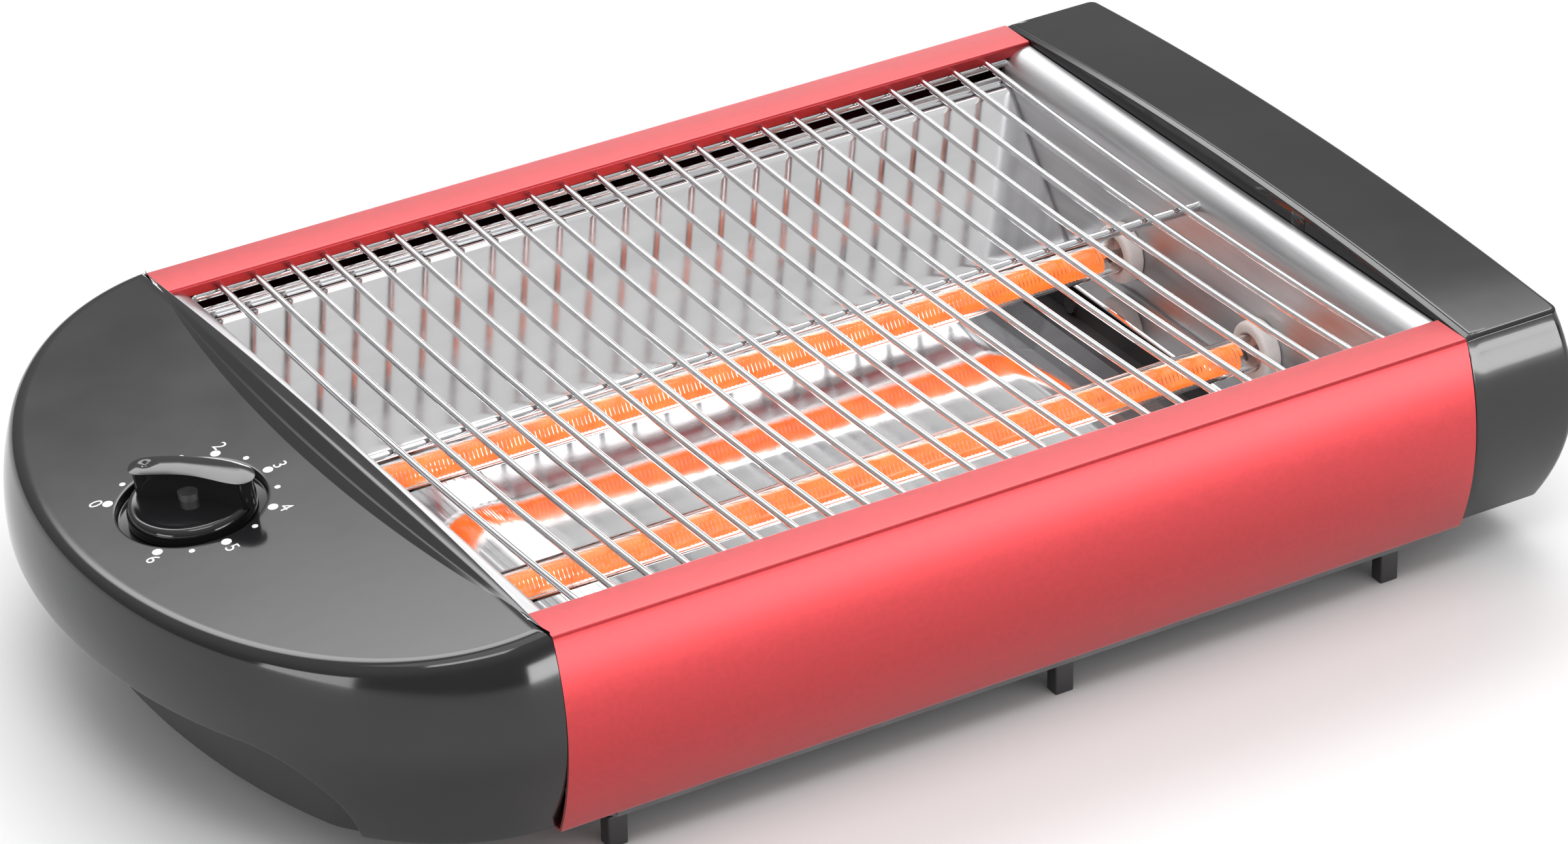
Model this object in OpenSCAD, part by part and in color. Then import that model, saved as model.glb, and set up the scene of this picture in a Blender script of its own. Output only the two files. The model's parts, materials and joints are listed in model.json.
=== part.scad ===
// Flat bread toaster: a low toasting bay with two quartz heaters under a wire grill,
// a D-shaped end housing with a clockwork timer at the left and a narrow one at the right.
// Millimetres. X runs along the heaters, -Y is the front, Z is up, feet stand on Z = 0.

/* [Overall] */
// Length of the toasting bay, between the two end housings
bay_l = 271; // [240:1:330]
// Depth over the flat top strips of the side panels
body_d = 220; // [200:1:264]
// Height of the top strips above the table
strip_z = 69.2; // [64:0.2:84]
// Height of the panels' lower edges above the table
under_z = 13; // [12:0.5:18]

/* [Side panels] */
// Width of a panel's flat top strip
strip_w = 10.7; // [9:0.1:14]
// Outward bow of a panel at half its height
panel_bow = 5.8; // [3:0.1:8]
// Thickness of the panel sheet
panel_t = 0.8; // [0.6:0.1:1.2]
// Height of the strip's folded inner lip
lip_h = 3.2; // [2:0.1:4]
// Width of a panel's bottom flange
flange_w = 13; // [11:0.5:15]
// Gap between a panel's end and the housing
panel_gap = 0.3; // [0.1:0.1:1]

/* [Left housing] */
// Length of the left housing at its top edge, from the bay
left_l = 72; // [64:1:90]
// Wall of the two plastic housings and their covers
wall = 2.4; // [1.8:0.1:3]
// How far the housings stand proud of the panels
proud = 0.6; // [0.2:0.1:1.5]
// Inward tuck of the housings at their lower edges
tuck = 3; // [1:0.5:6]
// Rise of the left top above the strips, at the bay
top_rise = 1.5; // [0.5:0.1:3]
// Fall of the left top towards the hand, in degrees
tilt = 7; // [3:0.5:10]
// Half width of the hand recess under the left end
scoop_w = 89; // [70:1:92]
// Height of the hand recess
scoop_h = 25; // [16:1:30]
// Reach of the recess wall from the bay
skirt_l = 58.5; // [54:0.5:62]
// Fit between a cover and its housing
cover_fit = 0.3; // [0.2:0.1:0.6]

/* [Right housing] */
// Length of the right housing at its top edge
right_l = 30; // [26:1:44]
// Outward bow of the right end wall
end_bow = 3; // [1:0.5:6]
// Radius of the right housing's upright edges
edge_r = 3; // [2:0.5:5]

/* [Ribs] */
// Crown of the arched ribs above the strips
rib_h = 4.5; // [3:0.1:7]
// Thickness of a rib at its crown
rib_t = 4; // [2.5:0.5:6]
// Reach of the left rib's sloping outer face
rib_foot = 10.5; // [8:0.5:14]

/* [Bay] */
// Gap from a housing to the bay face of its end plate
plate_gap = 9.5; // [8:0.5:14]
// Thickness of the end plates
plate_t = 1; // [0.8:0.1:1.5]
// Bend radius of an end plate's top flange
bend_r = 3; // [2:0.5:4]
// Drop of the end plates' flanges below the strips
plate_drop = 1.2; // [0.8:0.1:3]
// Thickness of the reflector sheet
reflector_t = 0.6; // [0.5:0.1:1]
// Height of the reflector's floor above the table
reflector_z = 22; // [21.5:0.5:26]
// Half width of the reflector's floor
floor_w = 62; // [50:1:70]
// Half width over the reflector's sloping sides
trough_w = 92; // [80:1:94]
// Drop of the reflector's top edge below the strips
trough_drop = 9.7; // [8:0.1:14]
// Length of the crumb slots at the ends of the reflector's floor
slot_l = 17; // [10:1:24]
// Distance of the crumb slots from the end plates
slot_in = 12; // [8:1:20]

/* [Grill] */
// Number of cross wires
wires = 24; // [12:1:30]
// Distance from an end plate to the nearest cross wire
wire_in = 6; // [3:0.5:12]
// Diameter of a cross wire
wire_d = 2; // [1.6:0.1:2.6]
// Sag of a cross wire at the middle of the bay
wire_sag = 2.4; // [0.5:0.1:4]
// Drop of a cross wire's ends below the strips
wire_drop = 2.3; // [1.5:0.1:4]
// Diameter of the centre rod
rod_d = 2.8; // [2:0.1:4]
// Diameter of the two edge rods
edge_d = 3; // [2:0.1:4]
// Gap between a strip's lip and the nearby edge rod
edge_gap = 0.8; // [0.4:0.1:2]
// Radial play of the rods in the end plates
rod_play = 0.1; // [0.05:0.05:0.3]

/* [Heaters] */
// Distance between the two heaters
heater_pitch = 66; // [50:1:90]
// Height of the heaters above the reflector's floor
heater_up = 11.9; // [10.5:0.1:16]
// Outer diameter of a quartz tube
tube_d = 10; // [8:0.5:12]
// Wall of a quartz tube
tube_t = 0.8; // [0.6:0.1:1.2]
// Outer diameter of a heating coil
coil_d = 7.4; // [5:0.1:7.8]
// Diameter of the coil's wire
coil_wire = 0.9; // [0.6:0.1:1.2]
// Cold length between a coil and its holder
cold_l = 5; // [3:1:20]
// Diameter of a ceramic holder
holder_d = 17; // [14:0.5:20]
// Thickness of a ceramic holder
holder_t = 5; // [4:0.5:8]
// Depth of the tube's seat in a holder
seat_h = 2.5; // [1.5:0.5:3]
// Radial play of a tube in its seat
seat_play = 0.2; // [0.1:0.05:0.4]
// Diameter of a terminal pin
pin_d = 2.5; // [2:0.1:3]

/* [Timer] */
// Distance of the dial from the bay, along the top
dial_in = 41.6; // [38:0.1:42]
// Offset of the dial towards the back
dial_back = 0.4; // [-4:0.1:4]
// Radius of the recess around the knob
recess_r = 19.3; // [18:0.1:20]
// Depth of that recess
recess_h = 2.6; // [2:0.1:3.5]
// Radius of the knob's skirt
knob_r = 16.5; // [14:0.1:17]
// Height of the knob's lever above the top
knob_h = 10.2; // [8:0.1:13]
// Half width of the knob's lever
lever_w = 5; // [4:0.1:6]
// Angle of the 0 mark, counted from the bay
zero_angle = 140; // [120:1:150]
// Radius of the timer's shaft
shaft_r = 3; // [2.5:0.1:3.5]
// Radial running play of the shaft
shaft_play = 0.05; // [0.02:0.01:0.1]
// Width, depth and height of the timer's case
timer_size = [33, 34, 16]; // [14:1:38]
// Depth of the timer's case below the top
timer_drop = 8; // [7.5:0.5:10]

/* [Crumb tray] */
// Half width of the crumb tray
tray_w = 91.5; // [80:0.5:93]
// Height of the tray's walls
tray_h = 7.2; // [6:0.1:7.4]
// Thickness of the tray sheet
tray_t = 0.7; // [0.5:0.1:1]
// Running gap around the tray
tray_gap = 0.5; // [0.4:0.1:1]

/* [Base] */
// Thickness of the base plate
base_t = 0.8; // [0.6:0.1:1.2]
// Depth of the base plate below the panels
base_drop = 3.4; // [3:0.1:5]
// Inset of the base plate from the panels' faces
base_in = 4; // [3:0.5:6]
// Width of a foot along the bay
foot_w = 5.5; // [4:0.5:9]
// Depth of a foot
foot_d = 4.5; // [4:0.5:6]
// Positions of the feet along the bay, as shares of its half length
feet_at = [-0.86, 0.11, 0.86]; // [-0.9:0.01:0.9]

/* [Fasteners] */
// Diameter of the housing and cover screws
screw_d = 2.9; // [2.5:0.1:3.5]
// Diameter of a screw's head
head_d = 6; // [5:0.1:7]
// Height of a screw's head
head_h = 2; // [1.5:0.1:2.5]
// Diameter of the standoffs between plates and housings
standoff_d = 7; // [6:0.5:8]

/* [Hidden] */
$fn = 48;
fit = 0.05;
half_d = body_d / 2;
side_h = strip_z - under_z;
house_bow = panel_bow + proud;
slice_steps = 8;
slice_top = 1.04;
slices = [for (i = [0:slice_steps]) slice_top * i / slice_steps];
left_reach = left_l + max([for (u = slices) swell(u)]);
right_reach = right_l + max([for (u = slices) end_swell(u)]);
bay_x = (left_reach - right_reach) / 2;
left_face = bay_x - bay_l / 2;
right_face = bay_x + bay_l / 2;
left_top = strip_z + top_rise;

plate_l = left_face + plate_gap;
plate_r = right_face - plate_gap;
plate_top = strip_z - plate_drop;
lip_y = half_d - strip_w;
plate_w = lip_y - 1.4;
bay_inner = plate_r - plate_l;

wire_r = wire_d / 2;
rod_r = rod_d / 2;
edge_r_rod = edge_d / 2;
wire_z = strip_z - wire_drop;
wire_mid_z = wire_z - wire_sag;
rod_z = wire_mid_z - wire_r - rod_r - fit;
edge_y = lip_y - edge_gap - edge_r_rod;
edge_z = wire_z - wire_r - edge_r_rod + 0.2;
wire_first = plate_l + wire_in;
wire_pitch = (bay_inner - 2 * wire_in) / (wires - 1);
wire_end = edge_y + 0.4;

heater_y = heater_pitch / 2;
heater_z = reflector_z + heater_up;
seat_r = tube_d / 2 + seat_play;
spigot_r = 4.2;
spigot_l = 4;
tube_len = bay_inner - 2 * (holder_t - seat_h) - 2 * fit;
pin_r = pin_d / 2;
pin_in = holder_t + 4;
pin_out = 6.5;
trough_z = strip_z - trough_drop;
trough_rim = 5;

base_z = under_z - base_drop - base_t / 2;
base_top = base_z + base_t;
base_y = half_d - base_in;
base_left = left_face + 3.5;
base_right = right_face - 3.5;
tray_z = base_top + 0.2;
tray_top = tray_z + tray_h;
tunnel_z = tray_top + 1;
tunnel_w = tray_w + 1.3;
tray_left = plate_l + 6;
tray_right = plate_r - 9;
rail_y = tray_w + tray_gap;
handle_z = tray_z - 1.4;
handle_right = right_face + right_l - 1;
foot_y = base_y - base_t - foot_d / 2;
stem_r = 1.7;
stem_top = under_z + panel_t + 2.2;

screw_r = screw_d / 2;
head_r = head_d / 2;
boss_r = 4;
boss_z = under_z + wall + fit;
left_bosses = [[-14, 0.8 * half_d], [-40, 0.56 * half_d]];
right_boss_y = tunnel_w + wall + boss_r + 1.5;
standoff_y = half_d - 26;
standoff_zs = [under_z + 11, strip_z - 17];
standoff_l = plate_gap - plate_t;
lead_r = 1.2;
lead_bend = 0.7;
lead_hole = 3.5;
lead_end_y = timer_size[1] / 2 + lead_r + 0.1;
lead_end_z = left_top - 23;
nut_l = 1.2;
nut_r = 2.7;
lug_r = 3;
lug_in = plate_t + spigot_l / 2 + nut_l + 0.5 + fit;
jumper_x = plate_r + lug_in;
left_lug_x = plate_l - lug_in;

gland_x = left_face - 20;
gland_z = under_z + 17;
gland_y = half_d - 2;
gland_r = 5;
gland_bore = 3.6;
gland_boss = 8;
gland_seat = 6;

terminal_x = left_face - 12;
terminal_y = 58;
terminal_z = under_z + wall;

// ---- shared curves and helpers ----

// Bow of a side wall at share u of its height: none at both ends, full at the middle
function bowed(u) = 4 * u * (1 - u);

// Growth of the left housing's outline at share u of its height
function swell(u) = house_bow * bowed(u) - tuck * pow(1 - min(u, 1), 2);

// Growth of the right end wall at share u of its height
function end_swell(u) = end_bow * bowed(u) - 1.5 * pow(1 - min(u, 1), 2);

// Height of share u of the side walls
function level(u) = under_z + u * side_h;

// Share of the side walls' height at height z
function share(z) = (z - under_z) / side_h;

// Outline of half an ellipse that opens towards +X
function half_oval(a, b, steps = 48) =
    [for (i = [0:steps]) let (t = 180 * i / steps) [-a * sin(t), b * cos(t)]];

// Height of the arched ribs at depth y
function arch(y) = strip_z + rib_h * (1 - pow(y / half_d, 2));

// Corners of a strip of sheet of thickness t, from p to q
function strip_between(p, q, t) =
    let (d = (q - p) / norm(q - p), n = [-d[1], d[0]] * t / 2) [p + n, p - n, q - n, q + n];

module along_x(x0, len) {
    translate([x0, 0, 0]) rotate([90, 0, 90]) linear_extrude(len) children();
}

module along_y(y0, len) {
    translate([0, y0 + len, 0]) rotate([90, 0, 0]) linear_extrude(len) children();
}

module rod_x(x0, len, r, y, z) {
    translate([x0, y, z]) rotate([0, 90, 0]) cylinder(h = len, r = r);
}

module rod_y(y0, len, r, x, z) {
    translate([x, y0, z]) rotate([-90, 0, 0]) cylinder(h = len, r = r);
}

// A round bar of radius r from point p to point q
module bar(p, q, r) {
    d = q - p;
    translate(p)
        rotate([0, acos(d[2] / norm(d)), atan2(d[1], d[0])])
            cylinder(h = norm(d), r = r);
}

module both_sides() {
    children();
    mirror([0, 1, 0]) children();
}

// The timer's own frame: origin on the left top at the dial, +Z out of the surface
module dial_frame() {
    translate([left_face, 0, left_top])
        rotate([0, -tilt, 0])
            translate([-dial_in, dial_back, 0]) children();
}

// Everything below the left top, lowered by drop
module under_top(drop) {
    translate([left_face, 0, left_top - drop])
        rotate([0, -tilt, 0])
            translate([-2 * left_l, -body_d, -3 * side_h]) cube([4 * left_l, 2 * body_d, 3 * side_h]);
}

// ---- side panels ----

module panel_profile() {
    steps = 16;
    outer = [for (i = [steps:-1:0]) [-half_d - panel_bow * bowed(i / steps), level(i / steps)]];
    inner = [for (i = [steps:-1:0]) outer[i] + [panel_t, 0]];
    polygon(concat(outer, inner));
    translate([-half_d, strip_z - panel_t]) square([strip_w, panel_t]);
    translate([-lip_y - panel_t, strip_z - lip_h]) square([panel_t, lip_h]);
    translate([-half_d, under_z]) square([flange_w, panel_t]);
}

module panel() {
    difference() {
        along_x(left_face + panel_gap, bay_l - 2 * panel_gap) panel_profile();
        for (s = feet_at)
            translate([bay_x + s * bay_l / 2, -foot_y, under_z - 1])
                cylinder(h = 3, r = stem_r + fit);
    }
}

module front_panel() {
    color("firebrick") panel();
}

module rear_panel() {
    color("firebrick") mirror([0, 1, 0]) panel();
}

// ---- left housing ----

// The left housing's outer form, shrunk by inset all round; a shrunk form is open below
module left_form(inset) {
    levels = inset > 0 ? concat([-0.03], slices) : slices;
    hull()
        for (u = levels)
            let (s = swell(max(u, 0)) - inset)
                translate([left_face, 0, level(u)])
                    linear_extrude(0.01) polygon(half_oval(left_l + s, half_d + s));
}

// The arched rib beside the bay, with its lens-shaped sloping outer face
module left_rib() {
    steps = 24;
    hull()
        for (i = [0:steps])
            let (y = half_d * (2 * i / steps - 1) * 0.995, c = 1 - pow(y / half_d, 2)) {
                translate([left_face - 0.02, y, arch(y) - 0.02]) cube(0.02);
                translate([left_face - rib_t * c - 0.02, y, arch(y) - 0.02]) cube(0.02);
                translate([left_face - 0.02, y, left_top - 3]) cube(0.02);
                translate([left_face - rib_foot * c - 0.02, y, left_top - 0.2 - rib_foot * c * tan(tilt)])
                    cube(0.02);
            }
}

module scoop_profile() {
    half = scoop_w - scoop_h;
    translate([-half, under_z - 9]) square([2 * half, scoop_h + 9]);
    for (s = [-1, 1]) translate([s * half, under_z]) circle(r = scoop_h);
    translate([-scoop_w, under_z - 9]) square([2 * scoop_w, 9]);
}

module left_housing() {
    color("#202022") difference() {
        union() {
            difference() {
                intersection() {
                    left_form(0);
                    under_top(0);
                }
                intersection() {
                    left_form(wall);
                    under_top(wall);
                    translate([left_face - 3 * left_l - wall, -body_d, 0])
                        cube([3 * left_l, 2 * body_d, 2 * strip_z]);
                }
            }
            left_rib();
            intersection() {
                union() {
                    dial_frame()
                        translate([0, 0, -recess_h - wall]) cylinder(h = recess_h + wall, r = recess_r + wall);
                    dial_frame() timer_posts();
                    for (p = left_bosses)
                        both_sides() translate([left_face + p[0], p[1], boss_z]) cylinder(h = side_h, r = boss_r);
                    rod_y(gland_y - gland_seat, gland_seat + 3, gland_boss + wall / 2, gland_x, gland_z);
                }
                left_form(wall / 2);
                under_top(wall / 2);
            }
        }
        dial_frame() {
            translate([0, 0, -recess_h]) cylinder(h = recess_h + 5, r = recess_r);
            translate([0, 0, -timer_drop - 1]) cylinder(h = timer_drop + 1, r = shaft_r + 0.5);
            for (s = [-1, 1])
                translate([0, s * timer_post_y, -timer_drop - 1]) cylinder(h = 6, r = screw_r + fit);
        }
        for (p = left_bosses)
            both_sides()
                translate([left_face + p[0], p[1], boss_z - 1]) cylinder(h = 11, r = screw_r + fit);
        housing_holes(left_face - wall - 1);
        for (s = [-1, 1]) rod_x(left_face - wall - 1, wall + 2, lead_hole, s * heater_y, heater_z);
        rod_y(gland_y, 30, gland_boss, gland_x, gland_z);
        rod_y(gland_y - gland_seat - 1, gland_seat + 2, gland_r + fit, gland_x, gland_z);
        along_x(left_face - 2 * left_l, 2 * left_l - 28) scoop_profile();
    }
}

timer_post_y = timer_size[1] / 2 + 7;

module timer_posts() {
    for (s = [-1, 1])
        translate([0, s * timer_post_y, -timer_drop + fit]) cylinder(h = timer_drop, r = boss_r);
}

// Screw holes of the standoffs, through one inner wall that starts at x0
module housing_holes(x0) {
    for (z = standoff_zs) both_sides() rod_x(x0, wall + 2, screw_r + 0.2, standoff_y, z);
}

module left_bottom_cover() {
    low = -wall - cover_fit;
    ledge = swell(share(under_z + scoop_h)) - wall - cover_fit;
    color("#1a1a1c") difference() {
        union() {
            translate([left_face, 0, under_z])
                linear_extrude(wall)
                    intersection() {
                        polygon(half_oval(left_l + swell(0) + low, half_d + swell(0) + low));
                        skirt_oval(0);
                        left_of_wall();
                    }
            translate([left_face, 0, under_z])
                linear_extrude(scoop_h + 1)
                    intersection() {
                        polygon(half_oval(left_l + swell(0) + low, half_d + swell(0) + low));
                        difference() {
                            skirt_oval(0);
                            skirt_oval(wall);
                        }
                        translate([-left_l, -scoop_w]) square([left_l - 28, 2 * scoop_w]);
                    }
            translate([left_face, 0, under_z + scoop_h])
                linear_extrude(1.6)
                    intersection() {
                        difference() {
                            polygon(half_oval(left_l + ledge, half_d + ledge));
                            skirt_oval(wall);
                        }
                        translate([-2 * left_l, -scoop_w]) square([2 * left_l - 28, 2 * scoop_w]);
                    }
        }
        for (p = left_bosses)
            both_sides()
                translate([left_face + p[0], p[1], under_z - 1]) cylinder(h = wall + 2, r = screw_r + fit);
    }
}

// Plan of the hand recess's inner wall, shrunk by inset
module skirt_oval(inset) {
    polygon(half_oval(skirt_l - inset, half_d + 9 - inset));
}

module left_of_wall() {
    translate([-2 * left_l, -body_d]) square([2 * left_l - wall - cover_fit, 2 * body_d]);
}

// ---- right housing ----

// One level of the right housing's outer form
module right_slice(u, inset) {
    grow_y = half_d + swell(max(u, 0)) - inset;
    reach = right_l + end_swell(max(u, 0)) - inset;
    x0 = inset > 0 ? inset : 0;
    r = edge_r > inset ? edge_r - inset : 0.2;
    translate([right_face, 0, level(u)]) linear_extrude(0.01) {
        translate([x0, -grow_y]) square([1, 2 * grow_y]);
        translate([reach - r, grow_y - r]) circle(r = r, $fn = 24);
        translate([reach - r, r - grow_y]) circle(r = r, $fn = 24);
    }
}

module right_form(inset) {
    steps = 24;
    levels = inset > 0 ? concat([-0.03], slices) : slices;
    hull() {
        for (u = levels) if (u <= 1) right_slice(u, inset);
        along_x(right_face + inset, right_l - 2 * inset)
            polygon([for (i = [0:steps])
                let (y = (half_d - inset) * (1 - 2 * i / steps) * 0.99) [y, arch(y) - inset]]);
    }
}

module right_housing() {
    color("#202022") difference() {
        union() {
            difference() {
                right_form(0);
                right_form(wall);
            }
            right_bosses(boss_r, under_z + wall + fit, arch(right_boss_y) - wall / 2);
        }
        right_bosses(screw_r + fit, under_z, under_z + 13);
        housing_holes(right_face - 1);
        along_x(right_face - 1, 2 * right_l)
            translate([-tunnel_w, 0]) square([2 * tunnel_w, tunnel_z - 0.2]);
    }
}

module right_bosses(r, z0, z1) {
    for (s = [-1, 1])
        translate([right_face + right_l / 2, s * right_boss_y, z0]) cylinder(h = z1 - z0, r = r);
}

module right_bottom_cover() {
    inner = right_face + wall + cover_fit;
    len = right_l + end_swell(0) - 2 * (wall + cover_fit);
    side = half_d + swell(0) - wall - cover_fit;
    color("#1a1a1c") difference() {
        along_x(inner, len) {
            translate([-tunnel_w - wall, tunnel_z]) square([2 * (tunnel_w + wall), wall]);
            for (s = [-1, 1])
                translate([s * (tunnel_w + wall / 2) - wall / 2, under_z])
                    square([wall, tunnel_z - under_z + 1]);
            translate([tunnel_w, under_z]) square([side - tunnel_w, wall]);
            translate([-side, under_z]) square([side - tunnel_w, wall]);
        }
        right_bosses(screw_r + fit, under_z - 1, under_z + wall + 1);
    }
}

// ---- end plates, reflector and base ----

// An end plate's section in X and Z: a wall whose top turns outwards in a round bend
module plate_section() {
    translate([-plate_t, tunnel_z]) square([plate_t, plate_top - bend_r - tunnel_z]);
    translate([-plate_gap + 0.3, plate_top - plate_t]) square([plate_gap - 0.3 - bend_r, plate_t]);
    translate([-bend_r, plate_top - bend_r]) intersection() {
        difference() {
            circle(r = bend_r);
            circle(r = bend_r - plate_t);
        }
        square(bend_r);
    }
}

// The left end plate, with its bay face at X = 0
module end_plate() {
    leg_z = base_top + fit;
    difference() {
        union() {
            along_y(-plate_w, 2 * plate_w) plate_section();
            both_sides()
                translate([-plate_t, tunnel_w + 0.8, leg_z])
                    cube([plate_t, plate_w - 1.2 - tunnel_w - 0.8, tunnel_z - leg_z + 1]);
        }
        rod_x(-plate_t - 1, plate_t + 2, rod_r + rod_play, 0, rod_z);
        both_sides() {
            rod_x(-plate_t - 1, plate_t + 2, edge_r_rod + rod_play, edge_y, edge_z);
            rod_x(-plate_t - 1, plate_t + 2, spigot_r + fit, heater_y, heater_z);
        }
    }
}

module left_end_plate() {
    color("silver") translate([plate_l, 0, 0]) end_plate();
}

module right_end_plate() {
    color("silver") translate([plate_r, 0, 0]) mirror([1, 0, 0]) end_plate();
}

module reflector_profile() {
    rim = [-trough_w - trough_rim, trough_z];
    edge = [-trough_w, trough_z];
    foot = [-floor_w, reflector_z];
    for (m = [0, 1]) mirror([m, 0]) {
        polygon(strip_between(rim, edge, reflector_t));
        polygon(strip_between(edge, foot, reflector_t));
        for (p = [edge, foot]) translate(p) circle(r = reflector_t / 2);
    }
    polygon(strip_between(foot, [floor_w, reflector_z], reflector_t));
}

module reflector() {
    slot_w = 2 * (floor_w - 6);
    color("gainsboro") {
        difference() {
            along_x(plate_l, bay_inner) reflector_profile();
            for (x = [plate_l + slot_in, plate_r - slot_in - slot_l])
                translate([x, -slot_w / 2, reflector_z - 2]) cube([slot_l, slot_w, 4]);
        }
        for (x = [plate_l + slot_in + slot_l, plate_r - slot_in - slot_l - reflector_t])
            translate([x, -slot_w / 2, reflector_z - 2.4]) cube([reflector_t, slot_w, 2.4]);
    }
}

module base_outline() {
    notch = 15;
    difference() {
        polygon([[base_left + notch, -base_y], [base_right, -base_y], [base_right, base_y],
            [base_left + notch, base_y], [base_left, base_y - notch], [base_left, notch - base_y]]);
        translate([tray_right - 0.6, -rail_y]) square([bay_l, 2 * rail_y]);
    }
}

module base_plate() {
    lip_l = base_right - base_left - 15;
    color("dimgray") difference() {
        union() {
            translate([0, 0, base_z]) linear_extrude(base_t) base_outline();
            both_sides() {
                translate([base_left + 15, base_y - base_t, base_z]) cube([lip_l, base_t, under_z - base_z]);
                translate([tray_left - 4, rail_y, base_z])
                    cube([base_right - tray_left + 4, base_t, base_drop]);
            }
        }
        feet_holes(base_z - 1, base_t + 2);
    }
}

module feet_holes(z0, h) {
    for (s = feet_at)
        both_sides()
            translate([bay_x + s * bay_l / 2, foot_y, z0]) cylinder(h = h, r = stem_r + fit);
}

module feet() {
    color("#3a3a3c")
        for (s = feet_at)
            both_sides()
                translate([bay_x + s * bay_l / 2, foot_y, 0]) {
                    translate([-foot_w / 2, -foot_d / 2, 0]) cube([foot_w, foot_d, base_z]);
                    cylinder(h = stem_top, r = stem_r);
                }
}

module foot_nuts() {
    color("silver")
        for (s = feet_at)
            both_sides()
                translate([bay_x + s * bay_l / 2, foot_y, under_z + panel_t]) difference() {
                    cylinder(h = 0.8, r = 3.2);
                    translate([0, 0, -1]) cylinder(h = 3, r = stem_r + fit);
                }
}

// ---- grill ----

// A cross wire that dips to the middle of the bay, its halves mitred there
module cross_wire() {
    both_sides() intersection() {
        bar([0, wire_end, wire_z], [0, -wire_d, wire_mid_z - wire_sag * wire_d / wire_end], wire_r);
        translate([-wire_d, 0, 0]) cube([2 * wire_d, body_d, 2 * strip_z]);
    }
}

module grill_rack() {
    color("silver") {
        for (i = [0:wires - 1]) translate([wire_first + i * wire_pitch, 0, 0]) cross_wire();
        for (s = [-1, 1])
            rod_x(plate_l - plate_t - 1.5, bay_inner + 2 * plate_t + 3, edge_r_rod, s * edge_y, edge_z);
    }
}

module centre_rod() {
    color("silver") rod_x(plate_l - plate_t - 2.5, bay_inner + 2 * plate_t + 5, rod_r, 0, rod_z);
}

// ---- heaters ----

// A ceramic holder with its back on the end plate at X = 0 and its seat towards +X
module holder() {
    color("seashell") rotate([0, 90, 0]) difference() {
        union() {
            cylinder(h = holder_t, r = holder_d / 2);
            translate([0, 0, -plate_t - spigot_l / 2]) cylinder(h = spigot_l, r = spigot_r);
        }
        translate([0, 0, holder_t - seat_h]) cylinder(h = seat_h + 1, r = seat_r);
        translate([0, 0, -spigot_l - 2]) cylinder(h = 2 * holder_t + spigot_l, r = pin_r + fit);
    }
}

module holder_front_left() {
    translate([plate_l, -heater_y, heater_z]) holder();
}

module holder_front_right() {
    translate([plate_r, -heater_y, heater_z]) mirror([1, 0, 0]) holder();
}

module holder_rear_left() {
    translate([plate_l, heater_y, heater_z]) holder();
}

module holder_rear_right() {
    translate([plate_r, heater_y, heater_z]) mirror([1, 0, 0]) holder();
}

module heater_tube(y) {
    color("lightyellow") difference() {
        rod_x(bay_x - tube_len / 2, tube_len, tube_d / 2, y, heater_z);
        rod_x(bay_x - tube_len, 2 * tube_len, tube_d / 2 - tube_t, y, heater_z);
    }
}

module heater_tube_front() {
    heater_tube(-heater_y);
}

module heater_tube_rear() {
    heater_tube(heater_y);
}

// The wound coil's envelope, with a straight lead at each end that meets the terminal pin
module heater_coil(y) {
    coil_len = bay_inner - 2 * (holder_t + cold_l);
    lead_end = bay_inner / 2 - pin_in - fit;
    color("orangered") {
        difference() {
            rod_x(bay_x - coil_len / 2, coil_len, coil_d / 2, y, heater_z);
            rod_x(bay_x - coil_len / 2 + coil_wire, coil_len - 2 * coil_wire,
                coil_d / 2 - coil_wire, y, heater_z);
        }
        for (s = [-1, 1])
            rod_x(bay_x + (s < 0 ? -lead_end : coil_len / 2 - coil_wire),
                lead_end - coil_len / 2 + coil_wire, coil_wire / 2, y, heater_z);
    }
}

module heater_coil_front() {
    heater_coil(-heater_y);
}

module heater_coil_rear() {
    heater_coil(heater_y);
}

// Two pins that pass outwards through the holders at X = 0, each with its nut
module terminal_pins() {
    color("silver") both_sides() {
        rod_x(-plate_t - pin_out, pin_out + plate_t + pin_in, pin_r, heater_y, heater_z);
        rod_x(-plate_t - spigot_l / 2 - nut_l, nut_l - fit, nut_r, heater_y, heater_z);
    }
}

module left_terminal_pins() {
    translate([plate_l, 0, 0]) terminal_pins();
}

module right_terminal_pins() {
    translate([plate_r, 0, 0]) mirror([1, 0, 0]) terminal_pins();
}

// A ring lug around a terminal pin
module lug(x, y) {
    difference() {
        rod_x(x - 0.5, 1, lug_r, y, heater_z);
        rod_x(x - 1, 2, pin_r + fit, y, heater_z);
    }
}

module heater_jumper() {
    color("white") {
        both_sides() lug(jumper_x, heater_y);
        rod_y(-heater_y + lug_r - 0.2, heater_pitch - 2 * lug_r + 0.4, lead_r, jumper_x, heater_z);
    }
}

// A lead from a heater's pin through the housing's wall to the given points, its runs crossing at each bend
module pin_lead(y, route) {
    start = [left_lug_x, y, heater_z - lug_r - 0.3];
    points = concat([start, [left_face - wall - 3, y, heater_z]], route);
    last = len(points) - 1;
    lug(left_lug_x, y);
    for (i = [1:last]) {
        run = points[i] - points[i - 1];
        past = lead_bend * run / norm(run);
        bar(points[i - 1] - (i > 1 ? 1 : 0) * past, points[i] + (i < last ? 1 : 0) * past, lead_r);
    }
}

module front_lead() {
    color("white") pin_lead(-heater_y, [[left_face - 34, dial_back - lead_end_y, lead_end_z]]);
}

module rear_lead() {
    color("white") pin_lead(heater_y, [[left_face - 12, 44, heater_z],
        [left_face - 12, terminal_y - 12, terminal_z + 16]]);
}

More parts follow.
